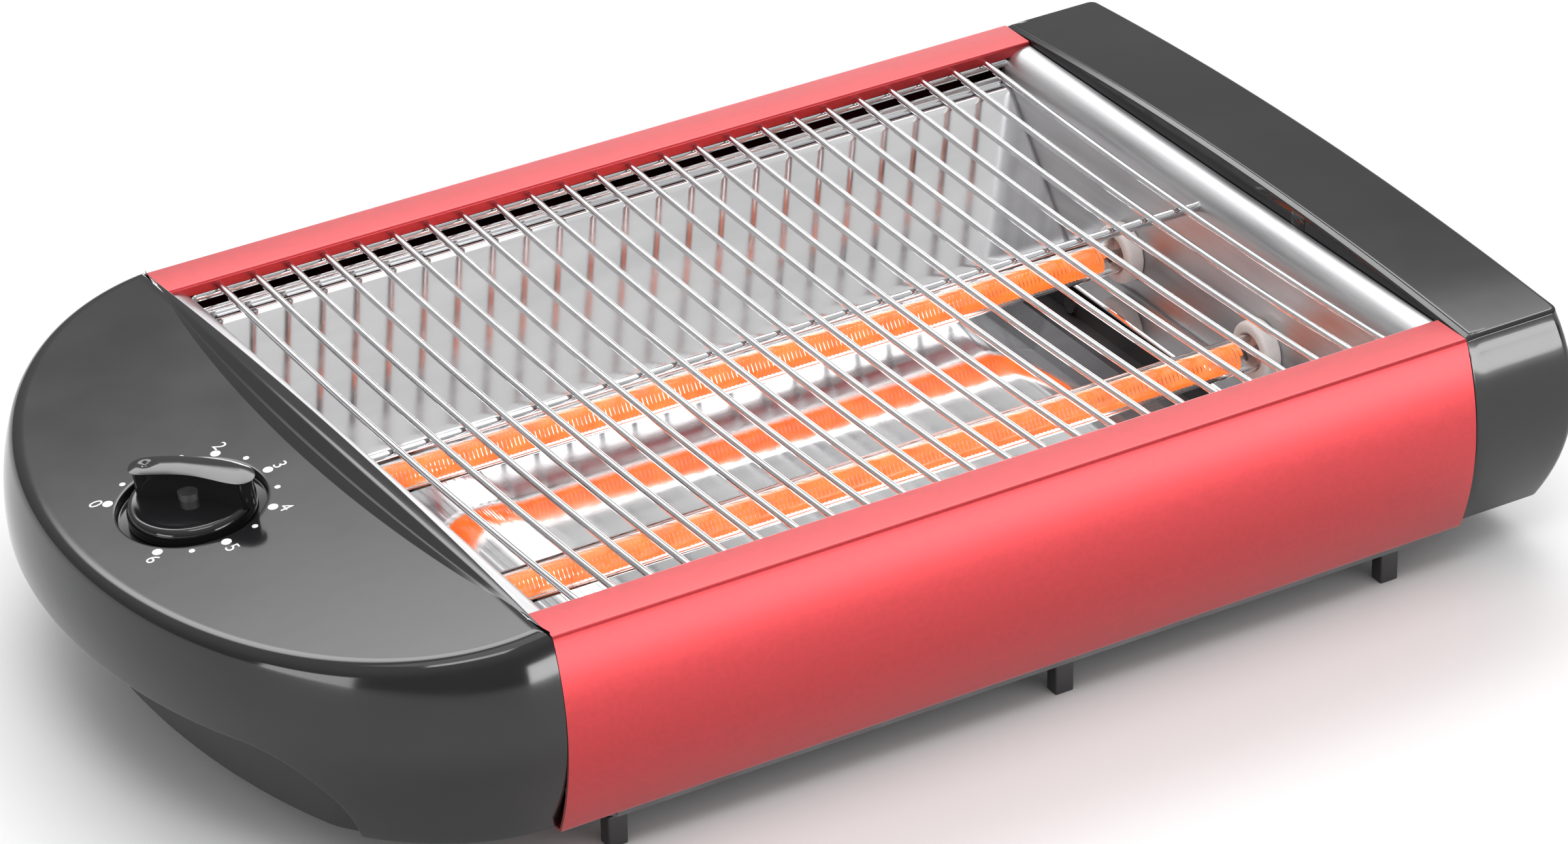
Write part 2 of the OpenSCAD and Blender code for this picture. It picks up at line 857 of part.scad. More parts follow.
module timer_lead() {
    color("brown")
        for (i = [0:1])
            bar([terminal_x - 4 + 5 * i, terminal_y - 15 - lead_r - 0.3, terminal_z + 6],
                [left_face - 36 + 6 * i, dial_back + lead_end_y, lead_end_z], lead_r);
}

// ---- timer, in the dial's frame ----

module timer_body() {
    color("tan") dial_frame() difference() {
        translate([-timer_size[0] / 2, -timer_size[1] / 2, -timer_drop - 1.2 - timer_size[2]])
            cube(timer_size);
        translate([0, 0, -timer_drop - 1.2 - timer_size[2] + 4])
            cylinder(h = timer_size[2], r = shaft_r + shaft_play);
    }
}

module timer_bracket() {
    color("silver") dial_frame() difference() {
        translate([-8, -timer_post_y - 5, -timer_drop - 1.2]) cube([16, 2 * timer_post_y + 10, 1.2]);
        translate([0, 0, -timer_drop - 2]) cylinder(h = 3, r = shaft_r + 0.4);
        for (s = [-1, 1])
            translate([0, s * timer_post_y, -timer_drop - 2]) cylinder(h = 3, r = screw_r + fit);
    }
}

module timer_bell() {
    top = -timer_drop - 1.2 - timer_size[2];
    color("silver") dial_frame() {
        translate([0, 0, top - 8]) cylinder(h = 8, r = 2);
        translate([0, 0, top - 8]) difference() {
            cylinder(h = 5, r1 = 12, r2 = 14);
            translate([0, 0, 1]) cylinder(h = 5, r1 = 11.4, r2 = 13.4);
        }
    }
}

module timer_screws() {
    color("silver") dial_frame()
        for (s = [-1, 1])
            translate([0, s * timer_post_y, -timer_drop - 1.2]) {
                cylinder(h = 6, r = screw_r);
                translate([0, 0, -head_h]) cylinder(h = head_h, r = head_r);
            }
}

module timer_shaft() {
    low = -timer_drop - timer_size[2] + 4;
    color("silver") dial_frame() translate([0, 0, low]) cylinder(h = 4 - low, r = shaft_r);
}

// Plan of the lever: a narrow pointer end at +X and a fuller end at -X
function lever_outline(steps = 48) =
    [for (i = [0:steps - 1])
        let (t = 360 * i / steps, w = lever_w - 0.4 * cos(t) + 0.9 * pow(cos(t), 2))
        [(knob_r - 1) * cos(t) - 0.4, w * sign(sin(t)) * pow(abs(sin(t)), 0.7)]];

module timer_knob() {
    color("#161618") dial_frame() rotate([0, 0, zero_angle]) difference() {
        union() {
            translate([0, 0, 0.4 - recess_h]) cylinder(h = recess_h + 0.6, r = knob_r);
            translate([0, 0, 1]) cylinder(h = 1.6, r1 = knob_r, r2 = knob_r - 2.2);
            linear_extrude(knob_h) polygon(lever_outline());
        }
        translate([0, 0, -recess_h]) cylinder(h = recess_h + 4.1, r = shaft_r + 0.02);
    }
}

module terminal_block() {
    color("ivory") difference() {
        translate([terminal_x - 7, terminal_y - 15, terminal_z]) cube([14, 30, 12]);
        for (i = [-1:1])
            translate([terminal_x, terminal_y + 9 * i, terminal_z + 5]) cylinder(h = 9, r = 2);
    }
}

module cord_gland() {
    color("#141416") translate([gland_x, 0, gland_z]) difference() {
        union() {
            rod_y(gland_y - gland_seat - 1.6, gland_seat + 3.2, gland_r, 0, 0);
            rod_y(gland_y + fit, 1.6, gland_r + 2.2, 0, 0);
            rod_y(gland_y - gland_seat - 1.6, 1.6 - fit, gland_r + 1.4, 0, 0);
        }
        rod_y(gland_y - gland_seat - 3, gland_seat + 8, gland_bore, 0, 0);
    }
}

// ---- fasteners ----

// Four standoffs from an end plate to its housing, starting at x0
module standoffs(x0) {
    color("silver")
        for (z = standoff_zs)
            both_sides() difference() {
                rod_x(x0, standoff_l, standoff_d / 2, standoff_y, z);
                rod_x(x0 - 1, standoff_l + 2, screw_r + fit, standoff_y, z);
            }
}

module left_standoffs() {
    standoffs(left_face);
}

module right_standoffs() {
    standoffs(right_face - standoff_l);
}

// Screws from inside the left housing, with their heads at X = 0
module housing_screws() {
    color("dimgray")
        for (z = standoff_zs)
            both_sides() {
                rod_x(0, wall + 7, screw_r, standoff_y, z);
                rod_x(-head_h, head_h, head_r, standoff_y, z);
            }
}

module left_housing_screws() {
    translate([left_face - wall, 0, 0]) housing_screws();
}

module right_housing_screws() {
    translate([right_face + wall, 0, 0]) mirror([1, 0, 0]) housing_screws();
}

// A screw that points up, with the underside of its head at Z = 0
module cover_screw(len) {
    color("dimgray") {
        cylinder(h = len, r = screw_r);
        translate([0, 0, -head_h]) cylinder(h = head_h, r = head_r);
    }
}

module left_cover_screws() {
    for (p = left_bosses)
        both_sides() translate([left_face + p[0], p[1], under_z]) cover_screw(wall + 8);
}

module right_cover_screws() {
    for (s = [-1, 1])
        translate([right_face + right_l / 2, s * right_boss_y, under_z]) cover_screw(wall + 8);
}

// ---- crumb tray ----

module crumb_tray() {
    color("lightgray") difference() {
        translate([tray_left, -tray_w, tray_z]) cube([tray_right - tray_left, 2 * tray_w, tray_h]);
        translate([tray_left + tray_t, tray_t - tray_w, tray_z + tray_t])
            cube([tray_right - tray_left - 2 * tray_t, 2 * (tray_w - tray_t), tray_h]);
        tray_screw_holes();
    }
}

module tray_screw_holes() {
    for (s = [-1, 1]) rod_x(tray_right - 3, 12, screw_r + fit, s * tray_w / 2, tray_z + 4);
}

module tray_handle() {
    slab_w = tray_w - 0.3;
    color("#1a1a1c") difference() {
        union() {
            translate([tray_right + fit, -slab_w, handle_z]) cube([2.4, 2 * slab_w, tray_top - handle_z]);
            translate([tray_right + fit, -slab_w, handle_z])
                cube([handle_right - tray_right - fit, 2 * slab_w, 2.4]);
            translate([handle_right - 2.4, -slab_w, handle_z]) cube([2.4, 2 * slab_w, tray_top - handle_z]);
        }
        tray_screw_holes();
    }
}

module tray_screws() {
    color("silver")
        for (s = [-1, 1]) {
            rod_x(tray_right - tray_t, tray_t + 3.4, screw_r, s * tray_w / 2, tray_z + 4);
            rod_x(tray_right - tray_t - 1.4, 1.4, 2.4, s * tray_w / 2, tray_z + 4);
        }
}

front_panel();
rear_panel();
left_housing();
left_bottom_cover();
right_housing();
right_bottom_cover();
left_end_plate();
right_end_plate();
reflector();
base_plate();
feet();
foot_nuts();
grill_rack();
centre_rod();
holder_front_left();
holder_front_right();
holder_rear_left();
holder_rear_right();
heater_tube_front();
heater_tube_rear();
heater_coil_front();
heater_coil_rear();
left_terminal_pins();
right_terminal_pins();
heater_jumper();
front_lead();
rear_lead();
timer_lead();
timer_body();
timer_bracket();
timer_bell();
timer_screws();
timer_shaft();
timer_knob();
terminal_block();
cord_gland();
left_standoffs();
right_standoffs();
left_housing_screws();
right_housing_screws();
left_cover_screws();
right_cover_screws();
crumb_tray();
tray_handle();
tray_screws();
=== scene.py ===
# %% [markdown]
# # A flat open-grill toaster
# This lesson dresses a finished mechanical model of a small toaster.
# Bread lies on a rack of bright wires above two quartz heaters, between two red side panels.
# A black housing at each end carries the panels, and the left one holds a wind-up timer.
# The model is already in place and can move, so every new piece is worked out from its boxes.

import json
import math

import bmesh
import bpy
import numpy as np
from mathutils import Matrix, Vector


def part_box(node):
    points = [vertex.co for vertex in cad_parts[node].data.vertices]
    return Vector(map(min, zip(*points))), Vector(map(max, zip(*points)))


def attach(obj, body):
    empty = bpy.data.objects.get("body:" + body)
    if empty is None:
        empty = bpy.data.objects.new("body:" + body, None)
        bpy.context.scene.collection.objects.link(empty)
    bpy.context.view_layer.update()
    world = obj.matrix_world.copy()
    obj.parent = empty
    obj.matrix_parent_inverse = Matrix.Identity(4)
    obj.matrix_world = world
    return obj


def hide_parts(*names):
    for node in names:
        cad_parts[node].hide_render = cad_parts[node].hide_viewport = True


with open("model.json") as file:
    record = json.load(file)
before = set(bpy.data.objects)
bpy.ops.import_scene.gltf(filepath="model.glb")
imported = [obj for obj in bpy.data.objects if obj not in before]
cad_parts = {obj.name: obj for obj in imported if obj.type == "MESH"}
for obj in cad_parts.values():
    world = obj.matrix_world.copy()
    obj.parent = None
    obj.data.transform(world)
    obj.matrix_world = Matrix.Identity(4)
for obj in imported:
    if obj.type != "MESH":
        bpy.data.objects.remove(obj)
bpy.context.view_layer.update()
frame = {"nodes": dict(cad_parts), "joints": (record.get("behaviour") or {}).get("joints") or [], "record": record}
MM = 0.001

# %% [markdown]
# ## Driving sizes
# The panels, the end plates and the timer's joint say where everything else belongs.
# The remaining sizes are those of the mouldings: walls, bows, bends and edge radii.

# %% Places read from the frame
panel_low, panel_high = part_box("front_panel")
PANEL_GAP = 0.3 * MM
PANEL_BOW = 5.8 * MM
LEFT_FACE = panel_low.x - PANEL_GAP
RIGHT_FACE = panel_high.x + PANEL_GAP
UNDER_Z = panel_low.z
STRIP_Z = panel_high.z
LIP_Y = -panel_high.y
HALF_D = -panel_low.y - PANEL_BOW
SIDE_H = STRIP_Z - UNDER_Z
PLATE_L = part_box("left_end_plate")[1].x
PLATE_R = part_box("right_end_plate")[0].x
PLATE_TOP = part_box("left_end_plate")[1].z
PLATE_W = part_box("left_end_plate")[1].y
timer_joint = next(j for j in frame["joints"] if j["name"] == "timer_turn")
DIAL = np.array(timer_joint["pos_m"])
UP = -np.array(timer_joint["axis"])
UP = UP / np.linalg.norm(UP)
TILT = math.asin(-UP[0])
print("left face", LEFT_FACE, "right face", RIGHT_FACE, "tilt", math.degrees(TILT))

# %% [markdown]
# ## Side forms
# The sides bow out like a barrel stave and tuck in at the foot.
# Both housings and both panels follow one curve, so their edges meet all the way down.

# %% The bow of the sides
HOUSE_BOW = PANEL_BOW + 0.6 * MM
TUCK = 3 * MM
RIB_H = 4.5 * MM
WALL = 2.4 * MM


def bowed(u):
    """A parabola over the height u: 0 at the foot and the top, 1 half-way."""
    return 4 * u * (1 - u)


def swell(u):
    """How far a housing stands out at height u: the bow, less a tuck that grows towards the foot."""
    return HOUSE_BOW * bowed(u) - TUCK * (1 - np.clip(u, 0, 1)) ** 2


def arch(y):
    """Height of the arched ribs: a parabola over y that is tallest in the middle."""
    return STRIP_Z + RIB_H * (1 - (y / HALF_D) ** 2)


print("the housings swell by", HOUSE_BOW / MM, "mm half-way up")

# %% [markdown]
# ## Mesh tools
# A surface here is a net: rows and columns of points that a formula gives.
# One helper joins nets with quads, and one turns them into an object.
# Points that meet are merged, so a row that shrinks to a point becomes a closed pole.

# %% Nets of points
def net(points, round_rows=False, round_cols=False, skip=None):
    """Quads between neighbours of a rows x columns net. A round net also joins its last line to its first."""
    rows, cols = points.shape[:2]
    i, j = np.meshgrid(
        np.arange(rows if round_rows else rows - 1),
        np.arange(cols if round_cols else cols - 1),
        indexing="ij",
    )
    down, right = (i + 1) % rows, (j + 1) % cols
    quads = np.stack([i * cols + j, i * cols + right, down * cols + right, down * cols + j], -1)
    kept = quads.reshape(-1, 4) if skip is None else quads[~skip]
    return points.reshape(-1, 3), kept


def rounded(lines, radii, steps=6, closed=False):
    """Each corner of the lines becomes a curve: the line's two points at the corner's radius from it,
    joined by a quadratic whose handle is the corner."""
    radii = np.asarray(radii, float)
    before, after = np.roll(lines, 1, axis=1), np.roll(lines, -1, axis=1)
    reach = np.broadcast_to(radii, lines.shape[:2])[..., None]

    def towards(other):
        way = other - lines
        length = np.maximum(np.linalg.norm(way, axis=-1, keepdims=True), 1e-9)
        return lines + way / length * np.minimum(reach, 0.48 * length)

    a, b = towards(before), towards(after)
    if not closed:
        a[:, 0], b[:, 0] = lines[:, 0], lines[:, 0]
        a[:, -1], b[:, -1] = lines[:, -1], lines[:, -1]
    t = np.linspace(0, 1, steps)[None, None, :, None]
    curve = (1 - t) ** 2 * a[:, :, None] + 2 * t * (1 - t) * lines[:, :, None] + t**2 * b[:, :, None]
    return curve.reshape(len(lines), -1, lines.shape[-1])


def thinned(line, least=1e-6):
    """The points of a line, without those that repeat the one before."""
    step = np.linalg.norm(np.diff(line, axis=0), axis=1)
    return line[np.concatenate([[True], step > least])]


def thickened(line, thick):
    """A flat line's copy at the distance thick to its left, along its averaged normals."""
    way = np.gradient(line, axis=0)
    way /= np.linalg.norm(way, axis=1, keepdims=True)
    return line + thick * np.stack([-way[:, 1], way[:, 0]], -1)


print("a net of 3 rows and 4 columns has", len(net(np.zeros((3, 4, 3)))[1]), "quads")


# %% Swept, turned and lofted nets
def loft(loops):
    """Closed loops joined in order. Each end closes on its own middle point."""
    first = np.repeat(loops[:1].mean(1, keepdims=True), loops.shape[1], 1)
    last = np.repeat(loops[-1:].mean(1, keepdims=True), loops.shape[1], 1)
    return net(np.concatenate([first, loops, last]), round_cols=True)


def sheet_loft(outer, inner):
    """A thin sheet between an outer and an inner net of the same size, closed all round."""
    edge_rows = np.stack([outer[[0, -1]], inner[[0, -1]]], 1)
    edge_cols = np.stack([outer[:, [0, -1]], inner[:, [0, -1]]], 2)
    walls = [net(edge_rows[k]) for k in (0, 1)] + [net(edge_cols[:, k]) for k in (0, 1)]
    return [net(outer), net(inner)] + walls


def turned(profile, origin, axis, steps=64, closed=False):
    """A surface of revolution: a profile of (radius, height) pairs turned about an axis."""
    axis = np.asarray(axis, float) / np.linalg.norm(axis)
    side = np.cross(axis, [0, 0, 1] if abs(axis[2]) < 0.9 else [0, 1, 0])
    side /= np.linalg.norm(side)
    other = np.cross(axis, side)
    angle = np.linspace(0, 2 * np.pi, steps, endpoint=False)
    ring = np.cos(angle)[:, None] * side + np.sin(angle)[:, None] * other
    profile = np.asarray(profile, float)
    points = origin + profile[:, None, :1] * ring[None] + profile[:, None, 1:] * axis
    return net(points, round_rows=closed, round_cols=True)


def tube(path, radius, sides=12, side_way=(0, 0, 1)):
    """A round bar along a path, its radius falling to nothing over a short dome at each end."""
    path = np.asarray(path, float)
    way = np.gradient(path, axis=0)
    way /= np.linalg.norm(way, axis=1, keepdims=True)
    side = np.cross(way, side_way)
    side /= np.linalg.norm(side, axis=1, keepdims=True)
    other = np.cross(way, side)
    angle = np.linspace(0, 2 * np.pi, sides, endpoint=False)
    ring = np.cos(angle)[None, :, None] * side[:, None] + np.sin(angle)[None, :, None] * other[:, None]
    body = path[:, None] + radius * ring
    dome = np.radians([0, 30, 60, 90])[:, None, None]

    def end(k, sign):
        return path[k] + radius * (np.cos(dome) * ring[k] + sign * np.sin(dome) * way[k])

    return net(np.concatenate([end(0, -1)[::-1], body, end(-1, 1)]), round_cols=True)


def slab(x, y, z, radius, steps=5):
    """A block with all its edges rounded: rounded rectangles stacked along z, drawn in at both ends."""
    phi = np.linspace(0, np.pi / 2, steps)
    inset = radius * np.concatenate([1 - np.sin(phi), 1 - np.cos(phi)])
    level = np.concatenate([z[0] + radius * (1 - np.cos(phi)), z[1] - radius * (1 - np.sin(phi))])
    corner = np.repeat(np.radians([180, 270, 0, 90]), steps) + np.tile(phi, 4)
    cx = np.repeat([x[0], x[1], x[1], x[0]], steps)
    cy = np.repeat([y[0], y[0], y[1], y[1]], steps)
    sx, sy = np.repeat([1, -1, -1, 1], steps), np.repeat([1, 1, -1, -1], steps)
    r = radius
    loop_x = cx + sx * r + (r - inset)[:, None] * np.cos(corner)
    loop_y = cy + sy * r + (r - inset)[:, None] * np.sin(corner)
    return loft(np.stack([loop_x, loop_y, np.repeat(level[:, None], 4 * steps, 1)], -1))


print("a slab has", len(slab((0, 1), (0, 1), (0, 1), 0.1)[1]), "quads")


# %% From nets to a piece
def make_mesh(name, nets, sharp, heal):
    """Joins nets into one mesh, merges points that meet, and shades it smooth except at creases."""
    starts = np.cumsum([0] + [len(points) for points, _ in nets])
    points = np.concatenate([points for points, _ in nets])
    quads = np.concatenate([faces + start for (_, faces), start in zip(nets, starts)])
    mesh = bpy.data.meshes.new(name)
    mesh.from_pydata(points.tolist(), [], quads.tolist())
    work = bmesh.new()
    work.from_mesh(mesh)
    bmesh.ops.remove_doubles(work, verts=work.verts, dist=1e-6)
    if heal:
        bmesh.ops.recalc_face_normals(work, faces=work.faces)
    work.to_mesh(mesh)
    work.free()
    mesh.polygons.foreach_set("use_smooth", np.ones(len(mesh.polygons), bool))
    mesh.set_sharp_from_angle(angle=math.radians(sharp))
    return mesh


def make_piece(name, nets, finish, body="toaster", stands_for=(), sharp=38, heal=True):
    """One object from nets: it takes a finish, rides on a body and may stand for CAD nodes."""
    piece = bpy.data.objects.new(name, make_mesh(name, nets, sharp, heal))
    bpy.context.scene.collection.objects.link(piece)
    piece.data.materials.append(FINISHES[finish])
    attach(piece, body)
    if stands_for:
        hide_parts(*stands_for)
    print(name, len(piece.data.polygons), "faces")
    return piece


# %% [markdown]
# ## Shared effects
# Moulded plastic, paint and rolled sheet all vary a little from place to place.
# Two small node groups make that variation, and each finish sets its own scale and amount.
# One blends two colours by soft noise, and the other gives the height of a fine relief.

# %% Node group for mottled colour
def socket(tree, name, kind, way, value=None):
    made = tree.interface.new_socket(name=name, in_out=way, socket_type=kind)
    if value is not None:
        made.default_value = value


def mottle_group():
    """Noise at one scale, stretched to a mask, blends two colours."""
    tree = bpy.data.node_groups.new("mottle", "ShaderNodeTree")
    socket(tree, "Vector", "NodeSocketVector", "INPUT")
    socket(tree, "Scale", "NodeSocketFloat", "INPUT", 100.0)
    socket(tree, "Dark", "NodeSocketColor", "INPUT", (0, 0, 0, 1))
    socket(tree, "Light", "NodeSocketColor", "INPUT", (1, 1, 1, 1))
    socket(tree, "Color", "NodeSocketColor", "OUTPUT")
    socket(tree, "Mask", "NodeSocketFloat", "OUTPUT")
    start, end = tree.nodes.new("NodeGroupInput"), tree.nodes.new("NodeGroupOutput")
    noise = tree.nodes.new("ShaderNodeTexNoise")
    noise.inputs["Detail"].default_value = 3
    spread = tree.nodes.new("ShaderNodeMapRange")
    spread.inputs["From Min"].default_value = 0.3
    spread.inputs["From Max"].default_value = 0.7
    blend = tree.nodes.new("ShaderNodeMix")
    blend.data_type = "RGBA"
    tree.links.new(start.outputs["Vector"], noise.inputs["Vector"])
    tree.links.new(start.outputs["Scale"], noise.inputs["Scale"])
    tree.links.new(noise.outputs["Fac"], spread.inputs["Value"])
    tree.links.new(spread.outputs["Result"], blend.inputs["Factor"])
    tree.links.new(start.outputs["Dark"], blend.inputs["A"])
    tree.links.new(start.outputs["Light"], blend.inputs["B"])
    tree.links.new(blend.outputs["Result"], end.inputs["Color"])
    tree.links.new(spread.outputs["Result"], end.inputs["Mask"])
    return tree


MOTTLE = mottle_group()
print("group", MOTTLE.name)

# %% Node group for fine relief
FINER = 4.0
WEAKER = 0.35


def relief_group():
    """Height of the relief: a coarse noise, plus WEAKER times a noise that is FINER times as fine."""
    tree = bpy.data.node_groups.new("fine_relief", "ShaderNodeTree")
    socket(tree, "Vector", "NodeSocketVector", "INPUT")
    socket(tree, "Scale", "NodeSocketFloat", "INPUT", 500.0)
    socket(tree, "Height", "NodeSocketFloat", "OUTPUT")
    start, end = tree.nodes.new("NodeGroupInput"), tree.nodes.new("NodeGroupOutput")
    coarse, fine = tree.nodes.new("ShaderNodeTexNoise"), tree.nodes.new("ShaderNodeTexNoise")
    finer = tree.nodes.new("ShaderNodeMath")
    finer.operation = "MULTIPLY"
    finer.inputs[1].default_value = FINER
    total = tree.nodes.new("ShaderNodeMath")
    total.operation = "MULTIPLY_ADD"
    total.inputs[1].default_value = WEAKER
    for noise in (coarse, fine):
        tree.links.new(start.outputs["Vector"], noise.inputs["Vector"])
    tree.links.new(start.outputs["Scale"], coarse.inputs["Scale"])
    tree.links.new(start.outputs["Scale"], finer.inputs[0])
    tree.links.new(finer.outputs["Value"], fine.inputs["Scale"])
    tree.links.new(fine.outputs["Fac"], total.inputs[0])
    tree.links.new(coarse.outputs["Fac"], total.inputs[2])
    tree.links.new(total.outputs["Value"], end.inputs["Height"])
    return tree


RELIEF = relief_group()
print("group", RELIEF.name)

# %% [markdown]
# ## Finishes
# Every finish is built the same way: object coordinates, stretched along the grain where there is one,
# feed the mottle for colour and roughness and the relief for a bump.
# What is the same all over a surface, such as metal or clear coat, is set on the shader itself.

# %% One recipe for every finish
def finish(name, dark, light, rough, relief=(500, 0.1, 0.02), mottle=60, grain=(1, 1, 1), **fixed):
    """A material: colours dark to light by mottle, roughness from rough[0] to rough[1] by the same mask,
    and a bump of relief = (scale, strength, height in millimetres) on coordinates stretched by grain."""
    material = bpy.data.materials.new(name)
    material.use_nodes = True
    tree = material.node_tree
    shader = tree.nodes["Principled BSDF"]
    place = tree.nodes.new("ShaderNodeTexCoord")
    stretch = tree.nodes.new("ShaderNodeMapping")
    stretch.inputs["Scale"].default_value = grain
    colour = tree.nodes.new("ShaderNodeGroup")
    colour.node_tree = MOTTLE
    colour.inputs["Scale"].default_value = mottle
    colour.inputs["Dark"].default_value = (*dark, 1)
    colour.inputs["Light"].default_value = (*light, 1)
    gloss = tree.nodes.new("ShaderNodeMapRange")
    gloss.inputs["To Min"].default_value = rough[0]
    gloss.inputs["To Max"].default_value = rough[1]
    height = tree.nodes.new("ShaderNodeGroup")
    height.node_tree = RELIEF
    height.inputs["Scale"].default_value = relief[0]
    bump = tree.nodes.new("ShaderNodeBump")
    bump.inputs["Strength"].default_value = relief[1]
    bump.inputs["Distance"].default_value = relief[2] * MM
    tree.links.new(place.outputs["Object"], stretch.inputs["Vector"])
    for node in (colour, height):
        tree.links.new(stretch.outputs["Vector"], node.inputs["Vector"])
    tree.links.new(colour.outputs["Color"], shader.inputs["Base Color"])
    tree.links.new(colour.outputs["Mask"], gloss.inputs["Value"])
    tree.links.new(gloss.outputs["Result"], shader.inputs["Roughness"])
    tree.links.new(height.outputs["Height"], bump.inputs["Height"])
    tree.links.new(bump.outputs["Normal"], shader.inputs["Normal"])
    for label, value in fixed.items():
        shader.inputs[label.replace("_", " ")].default_value = value
    FINISHES[name] = material
    return material


FINISHES = {}
print("ready to make finishes")

# %% [markdown]
# ### Paint and plastic
# The panels have a satin metallic red with the fine orange peel of sprayed paint.
# The housings are polished black moulding: nearly black, very smooth, with faint flow waves.
# Hidden covers and the feet are a duller black.

# %% Paint and plastic finishes
finish("red_paint", (0.46, 0.012, 0.018), (0.52, 0.016, 0.024), (0.34, 0.40), relief=(1500, 0.35, 0.02),
       mottle=700, Metallic=0.8, Coat_Weight=0.8, Coat_Roughness=0.32, Sheen_Weight=0.3,
       Sheen_Roughness=0.4)
finish("black_gloss", (0.009, 0.009, 0.010), (0.012, 0.012, 0.013), (0.08, 0.12),
       relief=(45, 0.06, 0.12), mottle=30, IOR=1.55)
finish("black_matte", (0.018, 0.018, 0.020), (0.026, 0.026, 0.028), (0.38, 0.48),
       relief=(2200, 0.3, 0.03))
finish("black_rubber", (0.015, 0.015, 0.015), (0.022, 0.022, 0.022), (0.55, 0.65),
       relief=(1800, 0.3, 0.03))
finish("timer_case", (0.36, 0.24, 0.12), (0.46, 0.32, 0.17), (0.40, 0.50), relief=(900, 0.2, 0.03))
finish("ivory_plastic", (0.72, 0.68, 0.56), (0.80, 0.76, 0.64), (0.35, 0.45), relief=(900, 0.2, 0.02))
finish("lead_sleeve", (0.62, 0.60, 0.54), (0.80, 0.78, 0.72), (0.7, 0.8), relief=(2500, 0.5, 0.06),
       mottle=2500)
finish("dial_print", (0.82, 0.82, 0.83), (0.90, 0.90, 0.90), (0.45, 0.55), relief=(3000, 0.1, 0.01))
print("paint and plastic", len(FINISHES))

# %% [markdown]
# ### Metals
# Rolled sheet has a grain along its length, so its coordinates are squeezed across the grain.
# The reflector is polished but not flat, and the wires are bright plated.

# %% Metal finishes
finish("satin_steel", (0.42, 0.42, 0.43), (0.56, 0.56, 0.57), (0.38, 0.50), relief=(1400, 0.55, 0.03),
       mottle=260, grain=(1, 0.08, 1), Metallic=1.0)
finish("mirror_aluminium", (0.74, 0.74, 0.75), (0.88, 0.88, 0.89), (0.06, 0.14), relief=(60, 0.1, 0.12),
       mottle=90, grain=(0.12, 1, 1), Metallic=1.0)
finish("grey_steel", (0.10, 0.10, 0.105), (0.15, 0.15, 0.155), (0.40, 0.50), relief=(1200, 0.2, 0.02),
       Metallic=0.4)
finish("chrome_wire", (0.60, 0.60, 0.61), (0.72, 0.72, 0.73), (0.06, 0.12), relief=(700, 0.1, 0.01),
       Metallic=1.0)
finish("plated_steel", (0.46, 0.46, 0.46), (0.62, 0.62, 0.61), (0.25, 0.4), relief=(900, 0.2, 0.02),
       Metallic=1.0)
finish("dark_lead", (0.05, 0.045, 0.04), (0.12, 0.10, 0.09), (0.45, 0.6), relief=(900, 0.3, 0.05),
       Metallic=0.8)
print("metals too", len(FINISHES))

# %% [markdown]
# ### Heat
# The holders are pale fired ceramic, the tubes clear quartz, and the coils glow orange.
# The glow is emission on the coils alone, and a fine mottle keeps it from looking flat.

# %% Heater finishes
finish("white_ceramic", (0.86, 0.79, 0.76), (0.92, 0.87, 0.84), (0.45, 0.6), relief=(1500, 0.3, 0.04),
       mottle=300)
finish("clear_quartz", (0.97, 0.95, 0.94), (1.0, 0.99, 0.98), (0.0, 0.03), relief=(120, 0.1, 0.02),
       Transmission_Weight=1.0, IOR=1.45)
coil = finish("glowing_coil", (0.55, 0.10, 0.02), (0.70, 0.16, 0.03), (0.5, 0.6),
              relief=(900, 0.1, 0.02), Emission_Strength=1.15)
glow = coil.node_tree.nodes.new("ShaderNodeGroup")
glow.node_tree = MOTTLE
glow.inputs["Scale"].default_value = 140
glow.inputs["Dark"].default_value = (0.80, 0.13, 0.02, 1)
glow.inputs["Light"].default_value = (0.95, 0.24, 0.04, 1)
glow_place = coil.node_tree.nodes["Texture Coordinate"]
coil.node_tree.links.new(glow_place.outputs["Object"], glow.inputs["Vector"])
glow_shader = coil.node_tree.nodes["Principled BSDF"]
coil.node_tree.links.new(glow.outputs["Color"], glow_shader.inputs["Emission Color"])
print("all finishes", sorted(FINISHES))

# %% [markdown]
# ## Dress the CAD nodes
# Screws, nuts, trays and everything hidden in the housings keep their CAD shape.
# The record says which finish each node has, so one loop dresses all of them.

# %% A finish for every CAD node
for subpart in frame["record"]["subparts"]:
    mesh = frame["nodes"][subpart["node"]].data
    mesh.materials.clear()
    mesh.materials.append(FINISHES[subpart["material_slot"]])

# %% [markdown]
# ## Side panels
# Each panel is one strip of thin sheet: a flange underneath, a bowed side, a flat strip on top
# and a small lip that turns down towards the grill.
# It could be a box with modifiers, but a section carried along X gives every bend its true radius.

# %% Panel section and sheet
SHEET = 0.8 * MM
LIP_H = 3.2 * MM
FLANGE_W = 13 * MM


def panel_line():
    """The outer line of a panel in Y and Z, seen along X: flange, bow, strip, lip."""
    u = np.linspace(0, 1, 33)
    bow = np.stack([-HALF_D - PANEL_BOW * bowed(u), UNDER_Z + u * SIDE_H], -1)
    ends = np.array([[FLANGE_W - HALF_D, UNDER_Z], [-LIP_Y, STRIP_Z], [-LIP_Y, STRIP_Z - LIP_H]])
    line = np.concatenate([ends[:1], bow, ends[1:]])
    radii = np.zeros(len(line))
    radii[[1, 33]] = 1.3 * MM, 0.8 * MM
    radii[34] = 0.8 * MM
    return thinned(rounded(line[None], radii[None], 7)[0])


